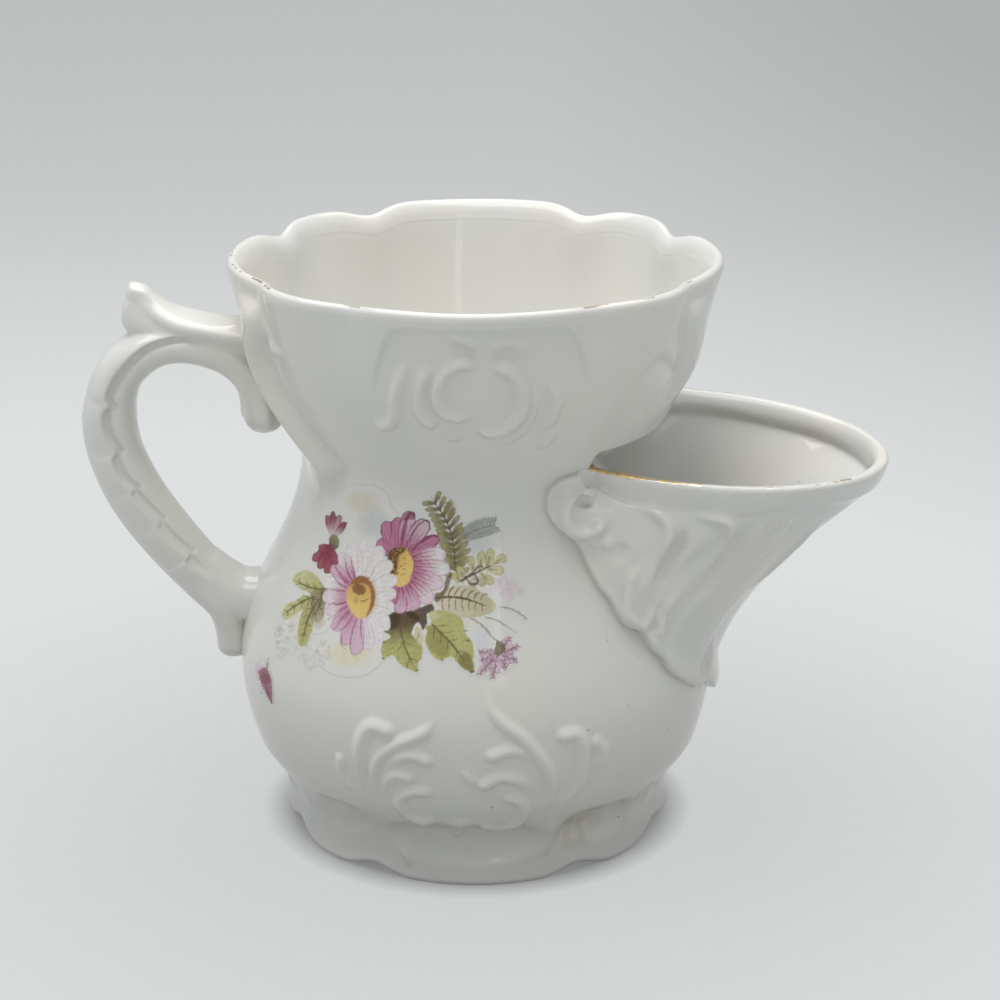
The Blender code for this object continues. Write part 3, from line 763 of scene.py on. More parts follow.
def open_pot(pot):
    """Cut the opening from the pot into the spout."""
    y, z = pocket_outline(np.linspace(-1, 1, 90), OPENING_CLEAR)
    y = np.concatenate([[y[0] - OPENING_FLARE], y, [y[-1] + OPENING_FLARE]])
    z = np.concatenate([[POT_HEIGHT + OPENING_ABOVE], z, [POT_HEIGHT + OPENING_ABOVE]])
    near = np.stack([np.full(len(y), OPENING_FROM), y, z], 1)
    cut_away(pot, *tube(np.stack([near, near + (OPENING_LENGTH, 0, 0)])), "EXACT")


pot = build_pot()
open_pot(pot)
dress(pot, "water_pot")


# Soap bowl
RIM_PROFILE = [     # inset from the wall and height over the rim's level, from outside to inside
    (0.0, -1.6), (0.08, -0.7), (0.42, 0.1), (1.0, 0.5), (1.75, 0.35), (2.35, -0.3), (2.75, -1.3), (2.95, -2.6),
]
LEDGE_FOOT = POT_HEIGHT + 0.3   # underside of the ledge that carries the soap floor
LEDGE = [           # radius and height from the bowl's inside round the ledge to its underside
    (30.2, LEDGE_TOP + 0.5), (29.4, LEDGE_TOP), (26.0, LEDGE_TOP), (LEDGE_HOLE + 0.4, LEDGE_TOP),
    (LEDGE_HOLE, LEDGE_TOP - 0.4), (LEDGE_HOLE, LEDGE_FOOT), (25.0, LEDGE_FOOT), (28.4, POT_HEIGHT + 0.02),
]
LEDGE_ROUND = 1.2
RIM_CLEAR = 0.2             # least height between the wall's rows and the rim's
RELIEF_ENDS = (96.6, 98.4)
MOUTH_TOP = 75.0            # level of the bowl's lower edge over the brush mouth
MOUTH_SIDES = (51.5, 56.5)  # degrees from the spout between which the edge comes down at the mouth's sides
MOUTH_UNDER = (28.4, 72.02)     # radius and height where the bevel over the mouth ends
MOUTH_LEAST = 0.01


def bowl_outline():
    """(radius, z) of the bowl's section from the seam over the rim, and its counts outside and on the rim."""
    lip = through(RIM_PROFILE, 3)
    lip = np.stack([bowl_wall(RIM_HEIGHT + lip[:, 1]) - lip[:, 0], RIM_HEIGHT + lip[:, 1]], 1)
    outer = bowl_profile(np.linspace(0, 1, 84))
    back = outer[::-2]
    under = [(pot_radius(POT_HEIGHT - fall) - sink, POT_HEIGHT - fall) for fall, sink in SEAM_OVERLAP[::-1]]
    outer = np.vstack([under, outer])
    outer = outer[outer[:, 1] < lip[0, 1] - RIM_CLEAR]
    back = back[(back[:, 1] > LEDGE_TOP + LEDGE_ROUND) & (back[:, 1] < lip[-1, 1] - RIM_CLEAR)]
    return np.vstack([outer, lip, back - (WALL, 0), LEDGE]), len(outer), len(lip)


def bowl_lift(face):
    lift = relief(face, BOWL_STROKES, on_body_path, BOWL_RELIEF) + cartouche(face) + crease(face)
    lift = lift + UNEVEN * wobble(face, UNEVEN_SIZE, SEED)
    return lift * (1 - smooth_step(face[:, 2], *RELIEF_ENDS))


def open_mouth(points, lowest):
    """Bevel the bowl's lower edge back over the brush mouth, from the mouth's top to the ledge."""
    turn = np.arctan2(points[..., 1], points[..., 0])
    level = MOUTH_TOP - (MOUTH_TOP - lowest) * smooth_step(np.abs(np.degrees(turn)), *MOUTH_SIDES)
    share = np.clip((level - points[..., 2]) / np.maximum(level - lowest, MOUTH_LEAST), 0, 1)
    radius = body_radius(level) * (1 - share) + MOUTH_UNDER[0] * share
    z = level * (1 - share) + MOUTH_UNDER[1] * share
    bevel = np.stack([radius * np.cos(turn), radius * np.sin(turn), z], -1)
    moved = (share > 0) & (level > lowest + MOUTH_LEAST)
    points[:] = np.where(moved[..., None], bevel, points)


def bowl_grid(outline, outside, azimuths):
    grid = turned_grid(outline, azimuths)
    grid[:outside] = raise_rows(grid[:outside], True, bowl_lift)
    open_mouth(grid[:outside], outline[:, 1].min())
    flute_rim(grid)
    upper = smooth_step(grid[..., 2], RIM_UNEVEN_FROM, RIM_HEIGHT)
    grid[..., 2] += RIM_UNEVEN * wobble(grid, RIM_UNEVEN_SIZE, SEED + 1) * upper
    return grid


def build_bowl():
    outline, outside, _ = bowl_outline()
    grid = bowl_grid(outline, outside, AZIMUTHS)
    faces = grid_faces(len(outline) + 1, len(AZIMUTHS), True) % (len(outline) * len(AZIMUTHS))
    return make_piece("glazed_bowl", grid.reshape(-1, 3), faces, porcelain)


dress(build_bowl(), "soap_bowl")
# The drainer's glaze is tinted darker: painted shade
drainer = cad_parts["soap_drainer"]
drainer.data.materials.clear()
drainer.data.materials.append(glaze_material("drainer_painted_shade_glaze", tint=DRAINER_PAINTED_SHADE))


# Brush spout
LEAF_EDGE = [       # share round the spout, azimuth and height of the leaf's edge on the pot
    (1.00, 33.0, 71.5), (0.97, 27.0, 71.0), (0.94, 23.2, 69.4), (0.90, 22.2, 66.6), (0.865, 24.2, 63.6),
    (0.83, 28.4, 61.2), (0.79, 32.0, 58.9), (0.745, 33.8, 55.4), (0.70, 35.6, 52.2), (0.665, 37.6, 50.4),
    (0.63, 38.6, 48.6), (0.575, 40.0, 46.0), (0.53, 44.6, 43.9), (0.48, 46.4, 41.0), (0.43, 49.6, 38.6),
    (0.385, 50.8, 36.4), (0.32, 56.0, 33.4), (0.25, 63.5, 30.2), (0.20, 67.0, 30.6), (0.13, 74.0, 27.6),
    (0.07, 80.5, 25.2), (0.0, 90.0, 24.0),
]
LEAF_STROKES = [    # height, half width, tapers, and a path of (share round the spout, share up the leaf)
    (1.25, 1.45, (0.25, 0.12), [(0.86, 0.97), (0.93, 0.88), (0.985, 0.70), (0.96, 0.54), (0.91, 0.42),
                                (0.868, 0.28), (0.838, 0.19), (0.81, 0.26), (0.806, 0.40), (0.83, 0.54)]),
    (-0.75, 1.45, TIP, [(0.912, 0.70), (0.895, 0.62), (0.87, 0.54)]),
    (0.50, 1.20, TIP, [(0.778, 0.10), (0.775, 0.24), (0.755, 0.34), (0.735, 0.28)]),
    (-0.40, 1.40, TIP, [(0.735, 0.46), (0.715, 0.38), (0.697, 0.28)]),
    (0.70, 1.15, (0.3, 0.35), [(0.84, 0.86), (0.785, 0.85), (0.733, 0.78), (0.68, 0.65), (0.64, 0.53),
                               (0.60, 0.42)]),
    (0.55, 1.05, OPEN, [(0.645, 0.38), (0.625, 0.26), (0.592, 0.17), (0.558, 0.08), (0.533, 0.05),
                        (0.505, 0.14), (0.50, 0.25)]),
    (-0.90, 1.50, TIP, [(0.685, 0.76), (0.61, 0.58), (0.567, 0.45), (0.537, 0.28)]),
    (0.70, 1.15, (0.3, 0.4), [(0.767, 0.95), (0.70, 0.97), (0.646, 0.93), (0.592, 0.84), (0.525, 0.68),
                              (0.475, 0.53)]),
    (-0.45, 1.40, TIP, [(0.55, 0.80), (0.483, 0.66), (0.442, 0.51), (0.417, 0.36)]),
    (0.30, 0.90, TIP, [(0.529, 0.93), (0.467, 0.74), (0.396, 0.56)]),
    (0.45, 0.75, TIP, [(0.467, 0.92), (0.412, 0.78), (0.354, 0.59)]),
    (0.50, 0.90, TIP, [(0.471, 0.38), (0.479, 0.26), (0.462, 0.15), (0.429, 0.06)]),
    (-0.60, 1.00, TIP, [(0.492, 0.32), (0.486, 0.18), (0.487, 0.08)]),
    (0.50, 0.90, TIP, [(0.20, 0.24), (0.19, 0.12), (0.22, 0.06), (0.271, 0.04)]),
    (0.40, 0.90, TIP, [(0.30, 0.86), (0.25, 0.62), (0.21, 0.40)]),
    (0.45, 1.30, TIP, [(0.0, 0.10), (0.0, 0.45), (0.0, 0.85)]),
]
LEAF_RAISE = 1.25           # how far the leaf's edge stands off the pot, and the least anywhere
LEAF_LEAST = 0.25
LEAF_SETTLE = 0.15          # share of the raise that is gone at the lip
LEAF_PULLS = (0.38, 0.20, 0.35)     # rise at the edge, then rise and reach at the lip, of the leaf's curve
LEAF_HOLLOW = 0.09          # how far the leaf falls back at its foot, and where round the spout that ends
LEAF_HOLLOW_ENDS = (0.5, 0.75)
LEAF_ROLL = 0.5             # raised edge of the leaf, and its place and width in shares up the leaf
LEAF_ROLL_AT = 0.05
LEAF_ROLL_WIDTH = 0.05
LEAF_CALM = 0.8             # share of the relief that fades under the lip, and where
LEAF_CALM_FROM = 0.92
LEAF_INSIDE = (20, 0, 60)   # a spot behind the leaf
LIP_GROOVE = 0.35           # groove under the lip, and its place and width in shares up the leaf
LIP_GROOVE_AT = 0.94
LIP_GROOVE_WIDTH = 0.035
EDGE_ENDS = (0.9, 1.0)      # where round the spout the roll and the groove run out
LIP_PROFILE = [             # inset from the lip's outline and depth below its top, from outside to inside
    (0.95, 3.9), (0.66, 3.1), (0.38, 2.2), (0.14, 1.3), (0.10, 0.6), (0.42, 0.12), (1.0, 0.0), (1.6, 0.12),
    (2.2, 0.55), (2.7, 1.3), (3.1, 2.3), (3.2, 3.2), (3.0, 4.1),
]
LIP_OUTSIDE = 6             # points of the profile that lie outside
LIP_SLIM = 0.30             # share of its size that the lip loses at its ends, and where
LIP_SLIM_ENDS = (0.86, 1.0)
LIP_STAND = (0.85, 0.2)     # least stand-off from the pot: share of the leaf's raise below, millimetres above
LIP_WAVES = [(0.14, 7.0, 0.8), (0.08, 17.0, 0.0)]   # size, rate and start of the band's uneven depth
THROAT_INSET = LIP_BEAD + 0.55      # where the leaf meets the lip
THROAT_DOWN = 4.2
POCKET_PULLS = ((0.15, 0.25), (0.25, 0.35))     # rise and reach at the mouth and at the lip
POCKET_PROUD = 0.1
POCKET_SUNK = 1.5
SKIRT_SUNK = (2.0, 0.4)     # how deep the leaf's edge runs on into the pot's wall, row by row
SPOUT_ENDS = 1.10           # how far the spout runs on round the neck, in shares of its mouth
SPOUT_END_SUNK = 2.5
SPOUT_SUNK = 2.2            # how deep the finished spout reaches into the pot's wall
SPOUT_COLUMNS = 451
LEAF_ROWS = 108
POCKET_ROWS = 44
SPOUT_VOXEL = 0.34
SPOUT_SOFTEN = 4
CHAMBER_LEVELS = (16.0, 75.0)
CORNER_PLACE = (33.5, 69.4)     # azimuth and height of the clay that fills the corner of lip, leaf and neck
CORNER_SUNK = 1.6
CORNER_BOSS = 3.0
LEAF_TABLE = through(LEAF_EDGE, 12)[::-1]


def lip_oval(angle, inset):
    x = LIP_CENTRE + (SPOUT_REACH - LIP_CENTRE - inset) * np.cos(angle)
    return x, (LIP_HALF_WIDTH - inset) * np.sin(angle)


def lip_turn():
    """Angle from the tip at which the lip has gone halfway into the neck's wall."""
    angles = np.linspace(math.pi / 2, math.pi, 4000)
    return angles[np.argmax(np.hypot(*lip_oval(angles, 0.0)) < NECK_RADIUS - WALL / 2)]


LIP_TURN = lip_turn()


def lip_points(share, inset, down):
    x, y = lip_oval(share * LIP_TURN, inset)
    level = NECK_RADIUS / 2
    fall = LIP_FALL * (x - level) / (SPOUT_REACH - level)
    return np.stack([x, y, POT_HEIGHT - fall - down], -1)


def lip_band(share):
    """Uneven depth of the lip's band round the spout."""
    return 1 + sum(size * np.sin(rate * share + start) for size, rate, start in LIP_WAVES)


def side_curve(low, high, lower_pull, upper_pull, t):
    """Rows of curves from low to high points; each pull is a share of the rise and of the reach."""
    up = np.zeros_like(low)
    up[..., 2] = high[..., 2] - low[..., 2]
    outward = high - low - up
    pull = low + lower_pull[0] * up + np.asarray(lower_pull[1]) * outward
    draw = high - upper_pull[0] * up - upper_pull[1] * outward
    return bezier(low[None], pull[None], draw[None], high[None], t[:, None, None])


def lift_off_pot(points, proud):
    """Push points out to at least a stand-off from the pot."""
    least = pot_radius(points[..., 2]) + proud
    points[..., :2] *= np.maximum(least / np.maximum(radius_of(points), 1.0), 1.0)[..., None]


def leaf_edge(share, proud):
    away = np.abs(share)
    azimuth, z = [np.interp(away, LEAF_TABLE[:, 0], LEAF_TABLE[:, column]) for column in (1, 2)]
    point = on_body(azimuth, np.minimum(z, POT_HEIGHT), proud)
    point[..., 1] *= -np.sign(share + TINY)
    return point


def leaf_sheet(share, t):
    """Outer face of the leaf, rows from its edge on the pot up to the bead of the lip."""
    edge = leaf_edge(share, LEAF_RAISE)
    throat = lip_points(share, THROAT_INSET, THROAT_DOWN * lip_band(share))
    lean = -LEAF_HOLLOW * (1 - smooth_step(np.abs(share), *LEAF_HOLLOW_ENDS))
    rise, upper_rise, upper_reach = LEAF_PULLS
    sheet = side_curve(edge, throat, (rise, lean[:, None]), (upper_rise, upper_reach), t)
    lift_off_pot(sheet, LEAF_RAISE * (1 - LEAF_SETTLE * t[:, None]))
    return sheet


def pick(grid, column, row):
    """Points of a grid at fractional columns and rows."""
    i = np.clip(row.astype(int), 0, grid.shape[0] - 2)
    j = np.clip(column.astype(int), 0, grid.shape[1] - 2)
    a, b = (row - i)[:, None], (column - j)[:, None]
    low = grid[i, j] * (1 - b) + grid[i, j + 1] * b
    return low * (1 - a) + (grid[i + 1, j] * (1 - b) + grid[i + 1, j + 1] * b) * a


def leaf_relief(sheet, share, t):
    """Scrolls and tongues of the leaf, its rolled edge, and a calmer band under the lip."""
    rows, columns = sheet.shape[:2]

    def place(knots):
        return pick(sheet, (1 - knots[:, 0] / SPOUT_ENDS) / 2 * (columns - 1), knots[:, 1] * (rows - 1))

    lift = relief(sheet.reshape(-1, 3), LEAF_STROKES, place, LEAF_RELIEF).reshape(rows, columns)
    calm = 1 - LEAF_CALM * smooth_step(t, LEAF_CALM_FROM, 1.0)
    groove = LIP_GROOVE * np.exp(-(((t - LIP_GROOVE_AT) / LIP_GROOVE_WIDTH) ** 2))
    roll = LEAF_ROLL * np.exp(-(((t - LEAF_ROLL_AT) / LEAF_ROLL_WIDTH) ** 2))
    edge = 1 - smooth_step(np.abs(share), *EDGE_ENDS)
    return lift * calm[:, None] + (roll - groove)[:, None] * edge


def leaf_skin(share):
    """Rows from inside the pot's wall out under the leaf's edge and up its face."""
    t = np.linspace(0, 1, LEAF_ROWS)
    sheet = leaf_sheet(share, t)
    normals = grid_normals(sheet, False)
    normals *= np.sign((normals * (sheet - LEAF_INSIDE)).sum(-1, keepdims=True))
    sheet = sheet + normals * leaf_relief(sheet, share, t)[..., None]
    lift_off_pot(sheet, LEAF_LEAST)
    edge = leaf_edge(share, 0.0)
    skirt = np.stack([edge + inward(edge) * sunk for sunk in SKIRT_SUNK])
    return np.concatenate([skirt, sheet])


def lip_roll(share):
    """Rows over the lip, from the leaf outside to the pocket inside; its ends lie on the neck."""
    profile = through(LIP_PROFILE, 4)
    slim = 1 - LIP_SLIM * smooth_step(np.abs(share), *LIP_SLIM_ENDS)
    band = slim * lip_band(share)
    rows = np.stack([lip_points(share, inset * slim, down * band) for inset, down in profile])
    outside = len(profile) * LIP_OUTSIDE // len(LIP_PROFILE)
    stand = np.linspace(LIP_STAND[0] * LEAF_RAISE, LIP_STAND[1], outside)
    lift_off_pot(rows[:outside], stand[:, None])
    return rows


def pocket_skin(share):
    """Rows from the lip down the pocket's wall and on into the pot's wall."""
    y, z = pocket_outline(share)
    radius = pot_radius(z) + POCKET_PROUD
    mouth = np.stack([np.sqrt(np.maximum(radius**2 - y**2, 0)), y, z], -1)
    throat = lip_points(share, LIP_EDGE - LIP_BEAD, LIP_BAND)
    wall = side_curve(mouth, throat, *POCKET_PULLS, np.linspace(0, 1, POCKET_ROWS))[::-1]
    return np.concatenate([wall, (mouth + inward(mouth) * POCKET_SUNK)[None]])


def closed_grid(grid):
    """Points and faces of a grid whose rows run round a closed section, capped at both ends."""
    rows, columns = grid.shape[:2]
    faces = (grid_faces(rows + 1, columns, False) % (rows * columns)).tolist()
    return grid.reshape(-1, 3), faces + [[i * columns + j for i in range(rows)] for j in (0, columns - 1)]


def ball(middle, radius, columns=24, rows=13):
    turn = np.linspace(0, math.tau, columns, endpoint=False)[None, :]
    rise = np.linspace(-math.pi / 2, math.pi / 2, rows)[:, None]
    level = np.cos(rise)
    grid = np.stack([level * np.cos(turn), level * np.sin(turn), np.sin(rise) + 0 * turn], -1)
    return middle + radius * grid.reshape(-1, 3), grid_faces(rows, columns, True).tolist()


def join_parts(name, parts):
    """One mesh of several lists of points and faces."""
    faces = []
    first = 0
    for verts, part in parts:
        faces += [[corner + first for corner in face] for face in part]
        first += len(verts)
    return make_piece(name, np.vstack([verts for verts, _ in parts]), faces, porcelain)


def fuse(piece, voxel, rounds):
    """Melt a piece's parts into one skin and soften it."""
    remesh = piece.modifiers.new("fuse", "REMESH")
    remesh.mode = "VOXEL"
    remesh.voxel_size = voxel * MM
    soften = piece.modifiers.new("soften", "SMOOTH")
    soften.factor = 0.5
    soften.iterations = rounds
    bake_modifiers(piece)
    piece.data.shade_smooth()


def clear_chamber(piece):
    """Trim what reaches through the pot's wall into the water chamber."""
    z = np.linspace(*CHAMBER_LEVELS, 60)
    grid = turned_grid(np.stack([body_radius(z) - SPOUT_SUNK, z], 1), np.arange(0, 360, 2.0))
    cut_away(piece, *tube(grid), "MANIFOLD")


def build_spout():
    share = SPOUT_ENDS * np.linspace(-1, 1, SPOUT_COLUMNS)
    grid = np.concatenate([leaf_skin(share), lip_roll(share), pocket_skin(share)])
    ends = grid[:, [0, -1]]
    ends = ends + inward(ends) * SPOUT_END_SUNK
    parts = [closed_grid(np.concatenate([ends[:, :1], grid, ends[:, 1:]], 1))]
    for side in (-1, 1):
        parts.append(ball(on_body(*CORNER_PLACE, -CORNER_SUNK) * (1, side, 1), CORNER_BOSS))
    piece = join_parts("glazed_spout", parts)
    fuse(piece, SPOUT_VOXEL, SPOUT_SOFTEN)
    clear_chamber(piece)
    return piece


spout = build_spout()
dress(spout, "brush_spout")


# Handle: a bar, a thumb rest and its web, fused by a fine remesh, with raised panels on the bar's sides
BAR = [     # x, z, thickness and width from the bell at the bowl round to the tail on the belly
    (-37.2, 70.5, 7.0, 12.0), (-36.9, 73.8, 7.6, 12.2), (-37.2, 77.0, 7.2, 11.4), (-38.6, 80.6, 6.8, 10.8),
    (-41.4, 83.6, 6.7, 10.6), (-45.6, 85.7, 6.6, 10.8), (-50.6, 86.8, 7.0, 11.0), (-55.0, 86.2, 7.3, 11.0),
    (-58.8, 84.2, 8.0, 11.0), (-61.6, 81.2, 8.3, 11.0), (-63.2, 77.2, 8.8, 11.0), (-63.8, 72.6, 9.4, 11.0),
    (-63.1, 67.2, 9.4, 11.0), (-61.0, 61.6, 9.6, 11.0), (-58.3, 56.7, 9.6, 11.0), (-54.6, 51.5, 9.4, 11.0),
    (-50.8, 46.8, 9.0, 11.0), (-47.2, 42.8, 8.6, 11.2), (-44.6, 38.8, 7.0, 11.0), (-43.6, 34.2, 6.2, 9.6),
    (-43.4, 28.6, 6.2, 8.4),
]
REST = [
    (-36.0, 87.9, 5.0, 13.0), (-40.0, 88.4, 4.8, 12.4), (-44.0, 89.0, 4.6, 11.8), (-48.0, 89.9, 4.5, 11.2),
    (-52.0, 91.1, 4.6, 10.4), (-55.0, 92.8, 4.8, 8.8), (-57.2, 94.8, 4.8, 6.8), (-58.8, 97.6, 4.2, 4.8),
]
WEB = [
    (-37.0, 86.6, 5.0, 10.6), (-44.0, 87.4, 5.2, 10.2), (-51.0, 88.8, 5.0, 9.2), (-54.6, 90.2, 5.6, 8.4),
    (-57.4, 91.6, 7.6, 7.6), (-60.9, 92.2, 7.6, 6.4),
]
ROOT_END = [
    (-49.5, 45.8, 8.6, 10.6), (-46.0, 42.6, 9.0, 11.0), (-42.0, 40.6, 8.6, 11.6), (-37.5, 40.0, 9.4, 12.6),
]
BELL_DEPTH = 0.08           # depth of the bell's flutes as a share, their number, and where they run out
BELL_FLUTES = 7
BELL_ENDS = (7.0, 20.0)
HANDLE_PARTS = [            # stations, lengths of the round caps, depth of flutes, squareness of the section
    (BAR, (4.6, 2.8), BELL_DEPTH, 2.6),
    (REST, (1.0, 2.4), 0.0, 2.1),
    (WEB, (1.0, 2.6), 0.0, 2.2),
    (ROOT_END, (1.0, 1.0), 0.0, 2.6),
]
HANDLE_VOXEL = 0.25
HANDLE_SOFTEN = 28
REST_DISH = 0.7             # hollow in the thumb rest: depth, half width, start in height and -x
REST_DISH_HALF = 5.0
REST_DISH_RISES = (-0.2, 0.8)
REST_DISH_STARTS = (40.0, 46.0)
PANEL_EDGE = [              # x and z of the scalloped edge along the side of the bar
    (-46.9, 88.1), (-50.7, 88.8), (-55.0, 87.9), (-58.1, 85.9), (-60.4, 83.5), (-62.3, 80.8), (-63.3, 78.2),
    (-62.9, 76.7), (-63.8, 75.6), (-64.1, 73.8), (-63.6, 71.2), (-62.1, 68.4), (-62.6, 67.2), (-62.3, 65.4),
    (-61.2, 63.2), (-59.6, 61.5), (-59.5, 60.4), (-57.7, 58.2), (-55.4, 55.6), (-55.2, 54.6), (-54.1, 53.0),
    (-52.4, 51.1), (-50.5, 49.4), (-50.6, 48.4), (-49.6, 47.2), (-48.1, 45.8),
]
PANEL_BREAKS = [            # x and z of the grooves between panels
    [(-62.4, 68.3), (-60.4, 68.4), (-58.4, 68.9)],
    [(-55.6, 55.3), (-53.8, 56.3), (-51.8, 57.4)],
]
PANEL_RAISE = 0.75
PANEL_SOFT = 0.30
PANEL_SLOPE = 0.26
PANEL_GROOVE = 0.75         # depth of the groove along the edge, and its distance and width
PANEL_GROOVE_AT = 0.7
PANEL_STARTS = (-0.02, 0.04)    # shares of the bar over which the panels come up at an end
PANEL_ENDS = (-0.03, 0.02)
PANEL_SIDE = (2.0, 4.6)     # distances from the bar's middle plane between which its side begins
BREAK_SIDE = 5.9
BREAK_DEPTH = 0.35
BREAK_HALF_WIDTH = 0.75
BREAK_TAPERS = (0.15, 0.4)


def swept(stations, caps, flutes, square):
    """Closed tube of squarish section along stations, round over the caps at its ends."""
    path = through(stations, 24)
    along = unit(np.gradient(path[:, :2], axis=0))
    across = np.stack([-along[:, 1], along[:, 0]], 1)
    run = run_along(path[:, :2])
    shrink = np.ones(len(run))
    for cap, gone in zip(caps, (run, run[-1] - run)):
        shrink *= np.sqrt(1 - (1 - np.clip(gone / cap, 0, 1)) ** 2)
    turn = np.linspace(0, math.tau, 96, endpoint=False)
    out, side = [np.sign(v) * np.abs(v) ** (2 / square) for v in (np.cos(turn), np.sin(turn))]
    wave = 1 + flutes * np.cos(BELL_FLUTES * turn) * (1 - smooth_step(run, *BELL_ENDS))[:, None]
    flat = path[:, None, :2] + across[:, None] * ((path[:, 2] / 2 * shrink)[:, None] * out * wave)[..., None]
    y = (path[:, 3] / 2 * shrink)[:, None] * side * wave
    grid = np.stack([flat[..., 0], y, flat[..., 1]], -1)
    return grid.reshape(-1, 3), grid_faces(*grid.shape[:2], True).tolist()


def dish_rest(points):
    """Hollow the top of the thumb rest between its edges."""
    level = np.interp(-points[:, 0], [-s[0] for s in REST], [s[1] for s in REST])
    hollow = np.maximum(1 - (points[:, 1] / REST_DISH_HALF) ** 2, 0)
    hollow *= smooth_step(points[:, 2] - level, *REST_DISH_RISES)
    points[:, 2] -= REST_DISH * hollow * smooth_step(-points[:, 0], *REST_DISH_STARTS)


def along_bar(points, path):
    """Nearest run along the bar and offset from its middle, outwards, of points (x, z)."""
    gap, share = to_curve(points, path)
    k = np.clip((share * (len(path) - 1)).astype(int), 0, len(path) - 2)
    way = path[k + 1] - path[k]
    side = (points - path[k])[:, 0] * way[:, 1] - (points - path[k])[:, 1] * way[:, 0]
    return share, gap * np.where(side > 0, -1, 1)


def raise_panels(points):
    """Scalloped panels on the bar's sides, with a groove along their edge and between them."""
    path = through(BAR, 12)[:, :2]
    share, offset = along_bar(points[:, [0, 2]], path)
    edge_share, edge_offset = along_bar(through(PANEL_EDGE, 6), path)
    order = np.argsort(edge_share)
    inside = np.interp(share, edge_share[order], edge_offset[order]) - offset
    ends = smooth_step(share, *(edge_share.min() + PANEL_STARTS))
    ends *= 1 - smooth_step(share, *(edge_share.max() + PANEL_ENDS))
    lift = PANEL_RAISE * smooth_step(inside, -PANEL_SOFT, PANEL_SOFT) - PANEL_SLOPE * np.maximum(inside, 0)
    lift -= PANEL_GROOVE * np.exp(-(((inside + PANEL_GROOVE_AT) / PANEL_GROOVE_AT) ** 2))
    lift *= ends
    mirrored = to_front(points)
    for gap in PANEL_BREAKS:
        curve = through([(x, -BREAK_SIDE, z) for x, z in gap], 8)
        lift += stroke_field(mirrored, curve, -BREAK_DEPTH, BREAK_HALF_WIDTH, BREAK_TAPERS)
    points[:, 1] += np.sign(points[:, 1]) * lift * smooth_step(np.abs(points[:, 1]), *PANEL_SIDE)


def build_handle():
    parts = [swept(*part) for part in HANDLE_PARTS]
    dish_rest(parts[1][0])
    piece = join_parts("glazed_handle", parts)
    fuse(piece, HANDLE_VOXEL, HANDLE_SOFTEN)
    mesh = piece.data
    flat = np.empty(len(mesh.vertices) * 3, np.float32)
    mesh.vertices.foreach_get("co", flat)
    points = flat.reshape(-1, 3).astype(float) / MM - (AXIS_X, 0, 0)
    raise_panels(points)
    mesh.vertices.foreach_set("co", placed(points).ravel())
    return piece


dress(build_handle(), "handle")


# Flower print, drawn in the units of the view: x to the right, y down, laid on the pot as the camera sees it
SHADE = 0.81                # share of the light that reaches the front of the pot
PRINT_AZIMUTHS = (-66.0, 18.0)
PRINT_LEVELS = (29.0, 70.5)
PRINT_STEP = 0.13
PRINT_PROUD = 0.05
PRINT_LEAST = 0.012         # cover from which the film is kept
WANDER = [(0.30, 5.0), (0.12, 2.2)]     # size and wave length of the drawn line's wander
GRAIN_RATES = (0.9, 1.1, 1.4, 1.7)
GRAIN_WAVES = 3
GRAIN_SEED = 11


def ripple(points, size):
    """Small wander of a drawn line, one wave set for each direction."""
    rng = np.random.default_rng(int(size * 10))
    moved = np.zeros_like(points)
    for axis in (0, 1):
        for _ in range(5):
            wave = rng.normal(size=2)
            wave *= math.tau / size / np.linalg.norm(wave) * rng.uniform(0.7, 1.3)
            moved[:, axis] += np.sin(points @ wave + rng.uniform(0, math.tau)) / 2.2
    return moved


